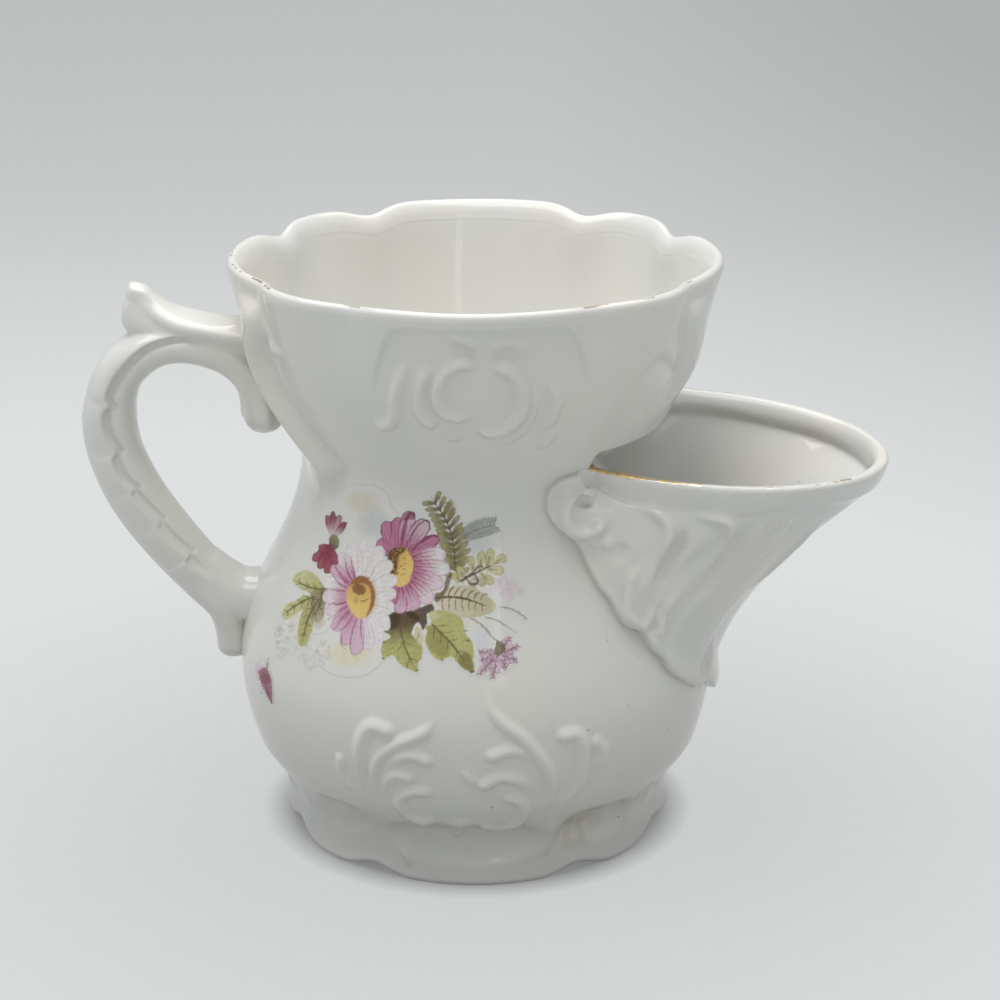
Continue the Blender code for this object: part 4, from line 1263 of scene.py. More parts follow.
class Print:
    """Ink on a sheet of points: a colour and a cover from 0 to 1 at each."""

    def __init__(self, points, bare):
        self.points = points + sum(size * ripple(points, length) for size, length in WANDER)
        self.colour = np.tile(np.array(bare, float), (len(points), 1))
        self.cover = np.zeros(len(points))
        rng = np.random.default_rng(GRAIN_SEED)
        waves = [np.sin(points @ rng.normal(size=2) * rate + rng.uniform(0, 6.28))
                 for rate in GRAIN_RATES for _ in range(GRAIN_WAVES)]
        self.grain = sum(waves) / (len(waves) / 2)

    def lay(self, where, cover, colour):
        """Lay ink over part of the sheet."""
        cover = np.clip(cover, 0, 1)
        self.colour[where] += (np.asarray(colour, float) - self.colour[where]) * cover[:, None]
        self.cover[where] += cover * (1 - self.cover[where])

    def near(self, low, high):
        inside = (self.points > low) & (self.points < high)
        return np.where(inside.all(1))[0]

    def line(self, path, width, colour, cover=0.9, taper=(0.2, 0.2), fuzz=0.6):
        """Drawn line that thins to its ends over the tapers."""
        curve = through(path, 6)
        where = self.near(curve.min(0) - width - 2, curve.max(0) + width + 2)
        gap, along = to_curve(self.points[where], curve)
        half = np.full(len(where), width / 2)
        for end, gone in zip(taper, (along, 1 - along)):
            half *= 0.35 + 0.65 * smooth_step(gone, 0, end)
        self.lay(where, cover * (1 - smooth_step(gap, half - fuzz, half + fuzz)), colour)

    def patch(self, corners, colour, cover=0.95, fuzz=0.9, shade=None, mottle=0.0):
        """Closed shape through corners; shade is (from point, to point, second colour)."""
        loop = through(list(corners) + [corners[0]], 6)
        where = self.near(loop.min(0) - 3, loop.max(0) + 3)
        p = self.points[where]
        inside = np.zeros(len(where), bool)
        for a, b in zip(loop, loop[1:]):
            if a[1] != b[1]:
                crosses = (a[1] > p[:, 1]) != (b[1] > p[:, 1])
                inside ^= crosses & (p[:, 0] < (b[0] - a[0]) * (p[:, 1] - a[1]) / (b[1] - a[1]) + a[0])
        gap = to_curve(p, loop)[0]
        depth = np.where(inside, gap, -gap)
        ink = np.tile(np.array(colour, float), (len(where), 1))
        if shade:
            start, end, other = shade
            run = np.subtract(end, start)
            ink += (np.array(other) - ink) * smooth_step(((p - start) @ run) / (run @ run), 0, 1)[:, None]
        ink *= (1 + mottle * self.grain[where])[:, None]
        self.lay(where, cover * smooth_step(depth, -fuzz, fuzz), ink)

    def wash(self, middle, size, colour, cover):
        """Soft oval of colour."""
        where = self.near(np.subtract(middle, size), np.add(middle, size))
        away = np.linalg.norm((self.points[where] - middle) / size, axis=1)
        self.lay(where, cover * (1 - smooth_step(away, 0.2, 1.0)) * (1 + 0.3 * self.grain[where]), colour)

    def petal(self, base, tip, width, inner, outer, vein=None, veins=3, vein_cover=0.5, rim=None,
              rim_cover=0.6, full=0.62, cover=0.95, reach=0.75):
        """One petal from base to tip: inner to outer colour, veins running out from the base, and a rim."""
        base, tip = np.array(base, float), np.array(tip, float)
        length = np.linalg.norm(tip - base)
        run = (tip - base) / length
        where = self.near(np.minimum(base, tip) - width, np.maximum(base, tip) + width)
        p = self.points[where] - base
        t = (p @ run) / length
        s = p @ (-run[1], run[0])
        body = np.clip(t, 0, 1)
        swelling = 0.42 + 0.58 * np.sin(body / full * math.pi / 2)
        closing = np.sqrt(np.maximum(1 - np.maximum((body - full) / (1 - full), 0) ** 2.6, 0))
        half = width / 2 * np.where(body < full, swelling, closing)
        depth = np.minimum(half - np.abs(s), np.minimum(t * length + 1.5, (1 - t) * length))
        ink = np.array(inner) + (np.array(outer) - inner) * smooth_step(t, 0.05, 0.8)[:, None]
        ink *= (1 + 0.05 * self.grain[where])[:, None]
        self.lay(where, cover * smooth_step(depth, -0.7, 0.7), ink)
        if vein is not None:
            rows = np.abs(((s / np.maximum(half, 0.5) * 0.5 + 0.5) * veins) % 1 - 0.5) * 2
            line = smooth_step(rows, 0.55, 0.95) * (1 - smooth_step(t, reach * 0.25, reach)) * (depth > 0)
            self.lay(where, vein_cover * line * smooth_step(t, -0.1, 0.05), vein)
        if rim is not None:
            line = (1 - smooth_step(np.abs(depth - 0.4), 0.3, 1.1)) * smooth_step(t, 0.25, 0.7)
            self.lay(where, rim_cover * line, rim)

    def speckle(self, middle, size, colour, cover, count=60, dot=1.4):
        """Scattered printer's dots within an oval."""
        rng = np.random.default_rng(count)
        for _ in range(count):
            turn, far = rng.uniform(0, math.tau), math.sqrt(rng.uniform())
            spot = np.add(middle, (size[0] * far * math.cos(turn), size[1] * far * math.sin(turn)))
            where = self.near(spot - 2, spot + 2)
            gap = np.linalg.norm(self.points[where] - spot, axis=1)
            self.lay(where, cover * (1 - smooth_step(gap, 0.2, dot * rng.uniform(0.5, 1.0))), colour)

    def stipple(self):
        """Grain of the transfer paper over all ink."""
        rng = np.random.default_rng(SEED)
        tone = 1 + 0.06 * self.grain + rng.normal(0, 0.035, len(self.cover))
        self.colour *= np.clip(tone, 0.7, 1.3)[:, None]


def seen(red, green, blue):
    """Colour of an ink from how it looks on the shaded front of the pot."""
    value = np.array([red, green, blue]) / 255
    return np.where(value <= 0.04045, value / 12.92, ((value + 0.055) / 1.055) ** 2.4) / SHADE


WHITE = seen(204, 200, 199)
CREAM = seen(190, 181, 158)
BEIGE = seen(170, 160, 132)
PALE = seen(200, 186, 191)
PINK = seen(188, 156, 173)
MAUVE = seen(168, 106, 132)
MAGENTA = seen(138, 62, 96)
PLUM = seen(106, 36, 66)
CRIMSON = seen(116, 40, 58)
YELLOW = seen(203, 176, 104)
AMBER = seen(186, 146, 76)
BROWN = seen(122, 74, 42)
DARK = seen(64, 46, 24)
LEAF = seen(158, 156, 94)
LIME = seen(176, 174, 122)
OLIVE = seen(122, 114, 66)
MOSS = seen(88, 78, 42)
GREY = seen(138, 140, 134)
SMOKE = seen(162, 168, 168)
BARK = seen(92, 82, 44)


def partway(start, end, share):
    return np.add(start, np.subtract(end, start) * share)


def turned(way, degrees):
    c, s = math.cos(math.radians(degrees)), math.sin(math.radians(degrees))
    return np.array([way[0] * c - way[1] * s, way[0] * s + way[1] * c])


def branches(stem, count, lean):
    """Spots along a stem with the ways to its left and right, and the share of the stem that lies behind."""
    path = through(stem, 12)
    for i in range(count):
        share = (i + 0.5) / count
        k = int(share * (len(path) - 2))
        run = unit(path[k + 1] - path[k])
        for side in (-lean, lean):
            yield path[k], turned(run, side), share


def leaflets(sheet, stem, count, long, wide, lean, inner, outer, rib, rib_cover):
    """Pairs of leaflets along a stem, longest in the middle."""
    for base, way, share in branches(stem, count, lean):
        tip = base + way * long * (0.55 + 0.75 * math.sin(math.pi * (0.18 + 0.7 * (1 - share))))
        sheet.petal(base, tip, wide, inner, outer, cover=0.88, full=0.5, rim=rib, rim_cover=0.3)
        sheet.line([base, partway(base, tip, 0.6)], 1.0, rib, rib_cover, fuzz=0.5)
    sheet.line(stem, 1.6, rib, fuzz=0.5)


def veined(sheet, rib, count, long, colour, wide=1.8):
    """Midrib of a leaf with pairs of side veins."""
    for base, way, share in branches(rib, count, 48):
        sheet.line([base, base + way * long * (1.15 - 0.6 * share)], 1.1, colour, 0.65, fuzz=0.5)
    sheet.line(rib, wide, colour)


def oval_way(turn):
    return np.array([math.cos(turn), math.sin(turn)])


def rays(sheet, middle, size, turns, long, **ink):
    """Short lines that run out from the edge of an oval."""
    for turn in turns:
        way = oval_way(math.radians(turn))
        spot = np.array(middle) + way * size
        sheet.line([spot, spot + way * long], **ink)


# Soft colour behind the spray
HIGH_WASHES = [     # middle, half size, colour and cover
    ((362, 502), (30, 18), seen(186, 176, 146), 0.45),
    ((350, 654), (36, 24), seen(198, 188, 140), 0.50),
    ((374, 524), (28, 24), SMOKE, 0.50),
]
BLUE_DOTS = dict(middle=(373, 526), size=(19, 19), colour=seen(142, 150, 156), cover=0.22, count=90)
FAINT_HEART = (501, 593)
FAINT_TIPS = [(493, 578), (505, 575), (517, 580), (524, 590), (513, 599)]
LOW_WASHES = [
    ((476, 544), (30, 22), SMOKE, 0.40),
    ((480, 638), (16, 22), seen(188, 192, 200), 0.45),
    ((448, 545), (18, 18), BEIGE, 0.35),
    ((470, 600), (34, 18), CREAM, 0.45),
]
SEED_HEADS = [((292, 636), (10, 16)), ((308, 656), (10, 12)), ((322, 652), (9, 12)), ((280, 640), (6, 16))]


def paint_background(sheet):
    for wash in HIGH_WASHES:
        sheet.wash(*wash)
    sheet.speckle(**BLUE_DOTS)
    for tip in FAINT_TIPS:
        sheet.petal(FAINT_HEART, tip, width=11, inner=PALE, outer=seen(186, 166, 178), cover=0.38)
    for wash in LOW_WASHES:
        sheet.wash(*wash)
    for middle, size in SEED_HEADS:
        sheet.speckle(middle, size, seen(170, 166, 152), cover=0.4, count=26 + size[1], dot=3.6)


# Ferns at the upper right
FERNS = [
    dict(stem=[(462, 537), (476, 530), (497, 524)], count=12, long=9, wide=3.2, lean=58,
         inner=GREY, outer=seen(150, 154, 148), rib=seen(124, 128, 122), rib_cover=0.4),
    dict(stem=[(456, 572), (454, 548), (447, 522), (431, 497)], count=12, long=13, wide=5.4, lean=56,
         inner=MOSS, outer=seen(138, 132, 82), rib=MOSS, rib_cover=0.6),
    dict(stem=[(458, 580), (455, 562), (454, 545)], count=4, long=15, wide=5.6, lean=62,
         inner=OLIVE, outer=seen(150, 142, 104), rib=MOSS, rib_cover=0.75),
]
FERN_TUFT = [(446, 502), (452, 500), (454, 512), (450, 520), (444, 512)]


def paint_ferns(sheet):
    for fern in FERNS:
        leaflets(sheet, **fern)
    sheet.patch(FERN_TUFT, OLIVE, cover=0.7, mottle=0.1)


# Yellow-green leaflets on a brown twig
TWIG_LEAVES = [     # base, tip, width and colour at the base
    ((474, 573), (470, 556), 7, BEIGE), ((480, 569), (482, 551), 8, LIME), ((487, 566), (492, 549), 9, LEAF),
    ((494, 563), (506, 556), 9, LIME), ((488, 569), (504, 571), 10, LIME), ((481, 574), (494, 583), 9, LIME),
    ((472, 578), (486, 584), 9, CREAM), ((465, 579), (458, 566), 8, BEIGE), ((463, 582), (452, 574), 8, BEIGE),
    ((470, 580), (474, 592), 7, CREAM),
]
TWIG = [(456, 584), (466, 578), (476, 573), (488, 567), (500, 562)]
TWIG_KNOTS = [
    [(462, 581), (470, 574), (476, 575)], [(466, 577), (470, 584), (478, 583)],
    [(472, 572), (478, 580), (474, 586)], [(474, 571), (480, 566), (484, 568)],
]


def paint_twig(sheet):
    for base, tip, wide, tone in TWIG_LEAVES:
        outer = BEIGE if tone is CREAM else LIME
        sheet.petal(base, tip, wide, tone, outer, cover=0.85, rim=OLIVE, rim_cover=0.35)
        sheet.line([base, partway(base, tip, 0.6)], 1.2, BROWN, cover=0.7, fuzz=0.5)
    sheet.line(TWIG, 2.2, seen(84, 62, 30), taper=(0.3, 0.5))
    for knot in TWIG_KNOTS:
        sheet.line(knot, 2.0, DARK, cover=0.75)


# Striped cream leaf
STRIPED_LEAF = [
    (434, 600), (442, 590), (460, 585), (478, 590), (492, 600), (496, 608), (486, 615), (466, 618), (446, 613),
]
STRIPED_SHADE = ((440, 600), (495, 606), seen(172, 166, 130))
STRIPED_RIB = [(434, 598), (450, 597), (466, 599), (486, 606)]
STRIPED_STALK = [
    (434, 601), (436, 593), (443, 591), (446, 578), (452, 573), (450, 583), (444, 596), (438, 602),
]
STRIPES = 7
STRIPE_FIRST = (441, 597)
STRIPE_STEP = 6.6
STRIPE_FALL = 0.16          # fall of the rib beyond the place where it bends
STRIPE_BEND = 455
STRIPE_SIDES = [            # points from the rib, change of the last one per stripe, width, colour and cover
    (((0, 0), (2.2, -6), (6.5, -12)), 0.9, 1.6, seen(104, 86, 52), 0.8),
    (((2, 1), (1.2, 7), (2.5, 15)), -0.8, 1.4, seen(112, 94, 58), 0.75),
]


def paint_striped_leaf(sheet):
    sheet.patch(STRIPED_LEAF, CREAM, cover=0.9, shade=STRIPED_SHADE)
    for i in range(STRIPES):
        x = STRIPE_FIRST[0] + STRIPE_STEP * i
        y = STRIPE_FIRST[1] + STRIPE_FALL * max(0, x - STRIPE_BEND)
        for points, change, wide, colour, cover in STRIPE_SIDES:
            path = np.add(points, (x, y))
            path[-1, 1] += change * i
            sheet.line(path, wide, colour, cover, fuzz=0.5)
    sheet.line(STRIPED_RIB, 2.3, seen(76, 60, 34), cover=0.95, taper=(0.1, 0.4))
    sheet.patch(STRIPED_STALK, seen(92, 74, 46), cover=0.8, mottle=0.15)


TENDRILS = [        # path, width, colour and tapers
    ([(468, 617), (476, 621), (485, 628), (493, 638)], 1.6, seen(128, 122, 110), (0.2, 0.2)),
    ([(485, 617), (496, 620), (508, 627), (517, 633)], 1.5, seen(122, 114, 104), (0.1, 0.6)),
    ([(498, 607), (508, 608), (519, 613), (528, 620)], 1.5, seen(122, 114, 104), (0.3, 0.1)),
]


def paint_tendrils(sheet):
    for path, wide, colour, taper in TENDRILS:
        sheet.line(path, wide, colour, cover=0.85, taper=taper)


# Ivy leaves under the flowers
IVY_LEFT = [
    (388, 616), (396, 612), (412, 612), (420, 618), (414, 626), (412, 634), (417, 640), (422, 646), (422, 656),
    (418, 664), (417, 672), (406, 668), (398, 662), (393, 655), (383, 658), (381, 649), (383, 642), (391, 637),
    (386, 632), (391, 627),
]
IVY_LEFT_SHADE = ((401, 620), (402, 652), LEAF)
IVY_LEFT_RIB = [(398, 618), (401, 634), (407, 652), (414, 667)]
IVY_RIGHT = [
    (428, 612), (440, 610), (455, 614), (463, 621), (466, 634), (472, 642), (474, 655), (471, 662), (474, 672),
    (465, 670), (457, 662), (452, 657), (444, 659), (437, 660), (430, 652), (425, 642), (427, 632), (425, 626),
    (432, 624),
]
IVY_RIGHT_TONES = [     # corners, colour, cover and fuzz of the darker parts
    ([(427, 628), (434, 626), (444, 637), (450, 645), (448, 656), (440, 657), (431, 650), (427, 641)],
     seen(132, 126, 70), 0.7, 2.0),
    ([(458, 656), (466, 652), (472, 658), (474, 672), (465, 669), (458, 663)], seen(112, 102, 54), 0.8, 1.6),
]
IVY_RIGHT_RIB = [(431, 623), (440, 632), (451, 643), (464, 660)]
IVY_LIGHT = [(428, 612), (436, 611), (440, 616), (434, 620), (429, 618)]
IVY_NICKS = [(417, 671), (383, 659), (384, 642), (442, 660), (466, 631), (472, 672), (468, 641), (386, 632)]
NICK = ((-1.6, -1.2), (0, 0), (1.8, -0.4))
SHADOW_RIGHT = [
    (406, 612), (424, 606), (432, 604), (434, 610), (427, 614), (427, 622), (423, 630), (418, 622), (410, 618),
]
SHADOW_LEFT = [(387, 616), (394, 612), (400, 614), (398, 626), (390, 630), (391, 622)]
POD = [(416, 626), (421, 629), (424, 638), (421, 645), (416, 641), (414, 634)]
POD_RIB = [(419, 632), (418, 638), (416, 642)]


def paint_ivy(sheet):
    sheet.patch(IVY_LEFT, seen(74, 54, 26), cover=0.96, fuzz=0.8, shade=IVY_LEFT_SHADE, mottle=0.12)
    veined(sheet, IVY_LEFT_RIB, count=3, long=14, colour=MOSS, wide=1.5)
    sheet.patch(IVY_RIGHT, seen(164, 162, 100), cover=0.96, fuzz=0.8, mottle=0.08)
    for tone in IVY_RIGHT_TONES:
        sheet.patch(*tone)
    veined(sheet, IVY_RIGHT_RIB, count=4, long=13, colour=seen(88, 74, 40))
    sheet.patch(IVY_LIGHT, seen(186, 182, 146), cover=0.7, fuzz=1.6)
    for spot in IVY_NICKS:
        sheet.line(np.add(NICK, spot), 1.7, seen(76, 66, 40), cover=0.75)
    sheet.patch(SHADOW_RIGHT, DARK, cover=0.92, mottle=0.2)
    sheet.patch(SHADOW_LEFT, DARK, cover=0.85, fuzz=1.2)
    sheet.patch(POD, seen(188, 180, 146), cover=0.9)
    sheet.line(POD_RIB, 1.1, OLIVE, cover=0.7)


# Spidery pink flower at the lower right
SPIDER_HEART = (499, 654)
SPIDER_TIPS = [(479, 652), (481, 661), (478, 675), (492, 679), (506, 669), (517, 661), (519, 646), (510, 637)]
SPIDER_HAIRS = [(0.3, 1), (0.42, -1), (0.55, 1), (0.66, -1), (0.78, 1), (0.88, -1), (0.97, 1)]  # share, side
SPIDER_DOTS = dict(middle=(498, 658), size=(17, 16), colour=seen(96, 54, 72), cover=0.7, count=110, dot=1.3)
SPIDER_CUP = [(497, 640), (503, 643), (505, 651), (499, 656), (494, 653)]
SPIDER_STALK = [(493, 637), (498, 642)]


def paint_spider_flower(sheet):
    for tip in SPIDER_TIPS:
        sheet.petal(SPIDER_HEART, tip, width=10, inner=PINK, outer=seen(188, 166, 176), cover=0.85)
        run = unit(np.subtract(tip, SPIDER_HEART))
        for share, hand in SPIDER_HAIRS:
            spot = partway(SPIDER_HEART, tip, share)
            side = hand * np.array([-run[1], run[0]])
            hair = [spot, spot + run * 1.2 + side * 1.6, spot + run * 1.6 + side * 2.8]
            sheet.line(hair, 1.2, seen(112, 70, 86), cover=0.7)
        sheet.line([SPIDER_HEART, tip], 1.4, seen(118, 78, 92), cover=0.7, fuzz=0.5)
    sheet.speckle(**SPIDER_DOTS)
    sheet.patch(SPIDER_CUP, seen(98, 86, 50), cover=0.9)
    sheet.line(SPIDER_STALK, 1.3, seen(110, 98, 70), cover=0.8)


# Leaf sprig at the left
SPRIG_LEAVES = [    # corners, colour, shade and mottle
    ([(292, 580), (297, 573), (306, 570), (316, 575), (322, 583), (325, 590), (318, 595), (308, 592),
      (299, 588)],
     LEAF, ((322, 590), (295, 576), LIME), 0.08),
    ([(281, 613), (287, 604), (296, 600), (304, 595), (313, 596), (311, 604), (302, 610), (293, 617),
      (284, 620)],
     LEAF, ((312, 598), (284, 616), LIME), 0.08),
    ([(299, 622), (303, 610), (311, 603), (317, 611), (314, 622), (311, 634), (306, 645), (300, 646),
      (297, 635)],
     seen(150, 146, 84), ((314, 608), (302, 642), LEAF), 0.10),
]
SPRIG_HEART = [(312, 594), (322, 588), (327, 594), (325, 606), (323, 618), (316, 622), (311, 612)]
SPRIG_DOTS = dict(middle=(318, 605), size=(8, 17), colour=seen(84, 72, 44), cover=0.6, count=90)
SPRIG_WASH = ((318, 622), (12, 12), seen(166, 156, 136), 0.6)
SPRIG_RIBS = [
    [(336, 590), (322, 589), (309, 587), (294, 580)],
    [(318, 596), (308, 599), (295, 606), (283, 615)],
    [(321, 596), (312, 610), (307, 622), (302, 642)],
]
SPRIG_STEM = [(322, 589), (321, 600), (317, 612)]


def paint_sprig(sheet):
    for corners, colour, shade, mottle in SPRIG_LEAVES:
        sheet.patch(corners, colour, cover=0.92, fuzz=1.2, shade=shade, mottle=mottle)
    sheet.patch(SPRIG_HEART, seen(128, 118, 82), cover=0.85, fuzz=1.4, mottle=0.18)
    sheet.speckle(**SPRIG_DOTS)
    sheet.wash(*SPRIG_WASH)
    for rib in SPRIG_RIBS:
        veined(sheet, rib, count=5, long=8.5, colour=BARK)
    sheet.line(SPRIG_STEM, 2.0, BARK, cover=0.85)


# Crimson buds at the upper left
BUD_FOOT = (333, 539)
BUD_TIPS = [
    ((327, 515), MAGENTA), ((333, 511), CRIMSON), ((340, 515), seen(150, 112, 122)), ((346, 522), CRIMSON),
]
BUD_CUP = [(329, 538), (334, 534), (339, 538), (339, 546), (334, 550), (329, 545)]
BUD_CUP_SHADE = ((338, 538), (330, 548), seen(70, 62, 40))
BLOOM_HEART = (329, 546)
BLOOM_TIPS = [(313, 561), (319, 569), (327, 574), (336, 565), (319, 550)]


def paint_buds(sheet):
    for tip, tone in BUD_TIPS:
        sheet.petal(BUD_FOOT, tip, 6.5, PALE, tone, PLUM, veins=2, vein_cover=0.6, rim=PLUM, rim_cover=0.5)
    sheet.patch(BUD_CUP, seen(120, 118, 76), shade=BUD_CUP_SHADE)
    for tip in BLOOM_TIPS:
        sheet.petal(BLOOM_HEART, tip, 9, CRIMSON, seen(134, 52, 68), PLUM, veins=2, vein_cover=0.7, rim=PLUM)


# Daisy behind
BACK_PETALS = [     # base, tip, width, vein colour, outer colour, vein cover, rim colour
    ((392, 556), (378, 540), 13, PLUM, MAUVE, 0.85, MAGENTA),
    ((393, 552), (386, 521), 15, MAGENTA, MAUVE, 0.95, PLUM),
    ((398, 549), (398, 517), 14, MAGENTA, MAUVE, 0.95, PLUM),
    ((402, 548), (410, 511), 15, PLUM, PINK, 0.95, PLUM),
    ((406, 549), (427, 520), 17, MAGENTA, seen(184, 160, 170), 0.75, PLUM),
    ((410, 553), (439, 537), 13, PLUM, MAUVE, 0.75, PLUM),
    ((412, 558), (446, 554), 17, MAGENTA, WHITE, 0.95, seen(170, 136, 152)),
    ((413, 566), (450, 569), 16, MAGENTA, WHITE, 0.95, seen(176, 146, 158)),
    ((412, 573), (443, 586), 16, MAGENTA, PALE, 0.95, seen(176, 146, 158)),
    ((409, 580), (432, 602), 17, MAGENTA, PALE, 0.95, seen(172, 140, 156)),
    ((404, 584), (416, 610), 16, MAGENTA, PINK, 0.75, MAUVE),
    ((399, 586), (401, 614), 14, MAGENTA, PINK, 0.75, MAGENTA),
    ((395, 585), (389, 606), 13, MAGENTA, MAUVE, 0.75, MAGENTA),
]
BACK_FOLDS = [      # path, width and cover
    ([(409, 543), (414, 531), (422, 522), (428, 521), (431, 530)], 2.0, 0.8),
    ([(401, 546), (404, 530), (408, 516), (413, 513), (415, 518)], 2.4, 0.8),
]
BACK_TURNED_TIP = [(402, 521), (406, 513), (412, 512), (415, 518), (408, 520)]
BACK_LAST_FOLD = [(411, 551), (420, 543), (432, 536), (439, 538)]
BACK_DISC = [
    (389, 562), (390, 553), (396, 548), (404, 547), (410, 553), (413, 562), (412, 574), (407, 584), (400, 587),
    (393, 583), (390, 573),
]
BACK_DISC_SHADE = ((411, 570), (390, 556), AMBER)
BACK_DISC_DARK = [
    (387, 566), (388, 554), (394, 548), (404, 547), (405, 551), (399, 556), (398, 566), (395, 576), (391, 577),
]
BACK_DOTS = [
    dict(middle=(396, 559), size=(7, 14), colour=seen(186, 146, 82), cover=0.75, count=34),
    dict(middle=(397, 564), size=(9, 17), colour=seen(70, 42, 18), cover=0.75, count=40),
]
BACK_DISC_EDGE = [(405, 548), (412, 556), (414, 568), (410, 579)]
BACK_RAYS = dict(middle=(401, 567), size=(13.5, 20.5), turns=range(-70, 100, 14), long=7)


def paint_back_daisy(sheet):
    for base, tip, wide, vein, outer, cover, rim in BACK_PETALS:
        sheet.petal(base, tip, wide, MAUVE, outer, vein, veins=4, vein_cover=cover, rim=rim, rim_cover=0.8,
                    reach=0.95)
    for fold, wide, cover in BACK_FOLDS:
        sheet.line(fold, wide, PLUM, cover)
    sheet.patch(BACK_TURNED_TIP, PLUM, cover=0.75)
    sheet.line(BACK_LAST_FOLD, 2.6, PLUM, cover=0.7)
    sheet.patch(BACK_DISC, YELLOW, cover=0.98, shade=BACK_DISC_SHADE)
    sheet.patch(BACK_DISC_DARK, seen(84, 52, 22), cover=0.93, fuzz=1.5, mottle=0.25)
    for dots in BACK_DOTS:
        sheet.speckle(**dots)
    sheet.line(BACK_DISC_EDGE, 1.3, BROWN, cover=0.6)
    rays(sheet, **BACK_RAYS, width=1.9, colour=PLUM, cover=0.6, taper=(0.1, 0.7))


# Daisy in front
FRONT_MIDDLE = (361, 597)
FRONT_PETALS = [    # tip, width, outer colour, vein colour, vein cover, rim colour
    ((381, 546), 15, WHITE, seen(176, 168, 160), 0.5, seen(184, 176, 170)),
    ((367, 539), 16, WHITE, seen(180, 174, 168), 0.5, seen(188, 180, 176)),
    ((352, 543), 16, WHITE, PINK, 0.5, seen(188, 172, 178)),
    ((391, 561), 14, WHITE, seen(180, 172, 150), 0.5, seen(186, 178, 168)),
    ((397, 577), 13, WHITE, seen(184, 176, 150), 0.5, seen(188, 180, 172)),
    ((396, 593), 13, WHITE, seen(190, 182, 168), 0.4, seen(190, 182, 178)),
    ((394, 609), 13, WHITE, seen(184, 176, 168), 0.4, seen(180, 172, 172)),
    ((388, 625), 14, WHITE, seen(188, 180, 178), 0.4, seen(188, 182, 180)),
    ((380, 641), 15, WHITE, seen(186, 176, 180), 0.4, seen(186, 178, 180)),
    ((369, 650), 15, seen(200, 192, 194), PINK, 0.4, seen(180, 160, 172)),
    ((341, 553), 13, PALE, MAGENTA, 0.75, seen(178, 150, 162)),
    ((332, 566), 13, PINK, MAGENTA, 0.9, MAUVE),
    ((324, 580), 15, WHITE, MAUVE, 0.6, seen(186, 170, 176)),
    ((322, 597), 14, PALE, MAUVE, 0.6, seen(170, 140, 156)),
    ((326, 613), 13, PALE, MAGENTA, 0.75, seen(170, 140, 158)),
    ((333, 630), 14, PINK, MAGENTA, 0.75, MAUVE),
    ((344, 645), 14, PINK, MAUVE, 0.6, seen(160, 118, 140)),
    ((356, 655), 14, seen(190, 164, 180), MAUVE, 0.5, seen(160, 118, 142)),
]
FRONT_PINK_FROM = 0.5       # petals with more vein than this are pink at their base
FRONT_LOOK = (14.0, 21.0)   # half axes that set each petal's way, and of the oval that its base lies on
FRONT_BASES = (12.0, 18.5)
PINK_STREAKS = [            # path and width
    ([(348, 584), (340, 574), (333, 563)], 2.6), ([(347, 588), (338, 582), (331, 572)], 1.8),
    ([(351, 580), (347, 568), (344, 556)], 1.8), ([(355, 578), (352, 566), (351, 556)], 1.3),
    ([(346, 591), (336, 590), (326, 588)], 1.4), ([(347, 602), (338, 604), (330, 604)], 2.2),
    ([(348, 606), (338, 612), (328, 620)], 1.6), ([(350, 611), (341, 620), (334, 630)], 1.8),
    ([(353, 615), (346, 626), (338, 634)], 1.2), ([(357, 618), (352, 634), (350, 650), (355, 657)], 1.3),
    ([(361, 619), (361, 634), (364, 650)], 1.2), ([(342, 636), (341, 644), (346, 649)], 1.3),
]
WHITE_STREAKS = [
    [(366, 576), (368, 564), (372, 552)], [(370, 577), (376, 566), (384, 558)],
    [(374, 582), (382, 576), (390, 572)], [(377, 592), (386, 591), (394, 590)],
    [(376, 604), (385, 608), (392, 612)], [(358, 574), (358, 560), (356, 548)],
    [(363, 575), (363, 560), (364, 548)],
]
FRONT_DISC = (14.2, 20.8)
FRONT_DISC_CORNERS = 18
FRONT_DISC_SHADE = ((357, 612), (366, 580), AMBER)
FRONT_DISC_DARK = [
    (350, 586), (352, 580), (360, 576), (368, 578), (374, 588), (375, 600), (372, 610), (366, 617), (369, 608),
    (371, 596), (369, 587), (361, 583),
]
FRONT_DISC_EYE = [(352, 588), (356, 583), (364, 586), (366, 592), (361, 595), (354, 593)]
FRONT_DISC_GREEN = [(354, 597), (357, 596), (358, 601), (355, 605)]
FRONT_DISC_MARK = [(360, 600), (364, 601.5), (368, 599)]
FRONT_DISC_EDGE = [(350, 612), (357, 618), (365, 618)]
FRONT_RAYS = dict(middle=FRONT_MIDDLE, size=(14.5, 21), turns=range(-60, 75, 9), long=3.5)


def paint_front_petals(sheet):
    for tip, wide, outer, vein, cover, rim in FRONT_PETALS:
        way = unit(np.subtract(tip, FRONT_MIDDLE) / FRONT_LOOK)
        base = FRONT_MIDDLE + way * FRONT_BASES
        inner = seen(176, 128, 150) if cover > FRONT_PINK_FROM else outer
        sheet.petal(base, tip, wide, inner, outer, vein, vein_cover=cover, rim=rim, rim_cover=0.45, reach=0.8)
    for streak, wide in PINK_STREAKS:
        sheet.line(streak, wide, MAGENTA, cover=0.75, taper=(0.05, 0.7))
    for streak in WHITE_STREAKS:
        sheet.line(streak, 0.9, seen(172, 164, 142), cover=0.55, taper=(0.1, 0.6), fuzz=0.5)


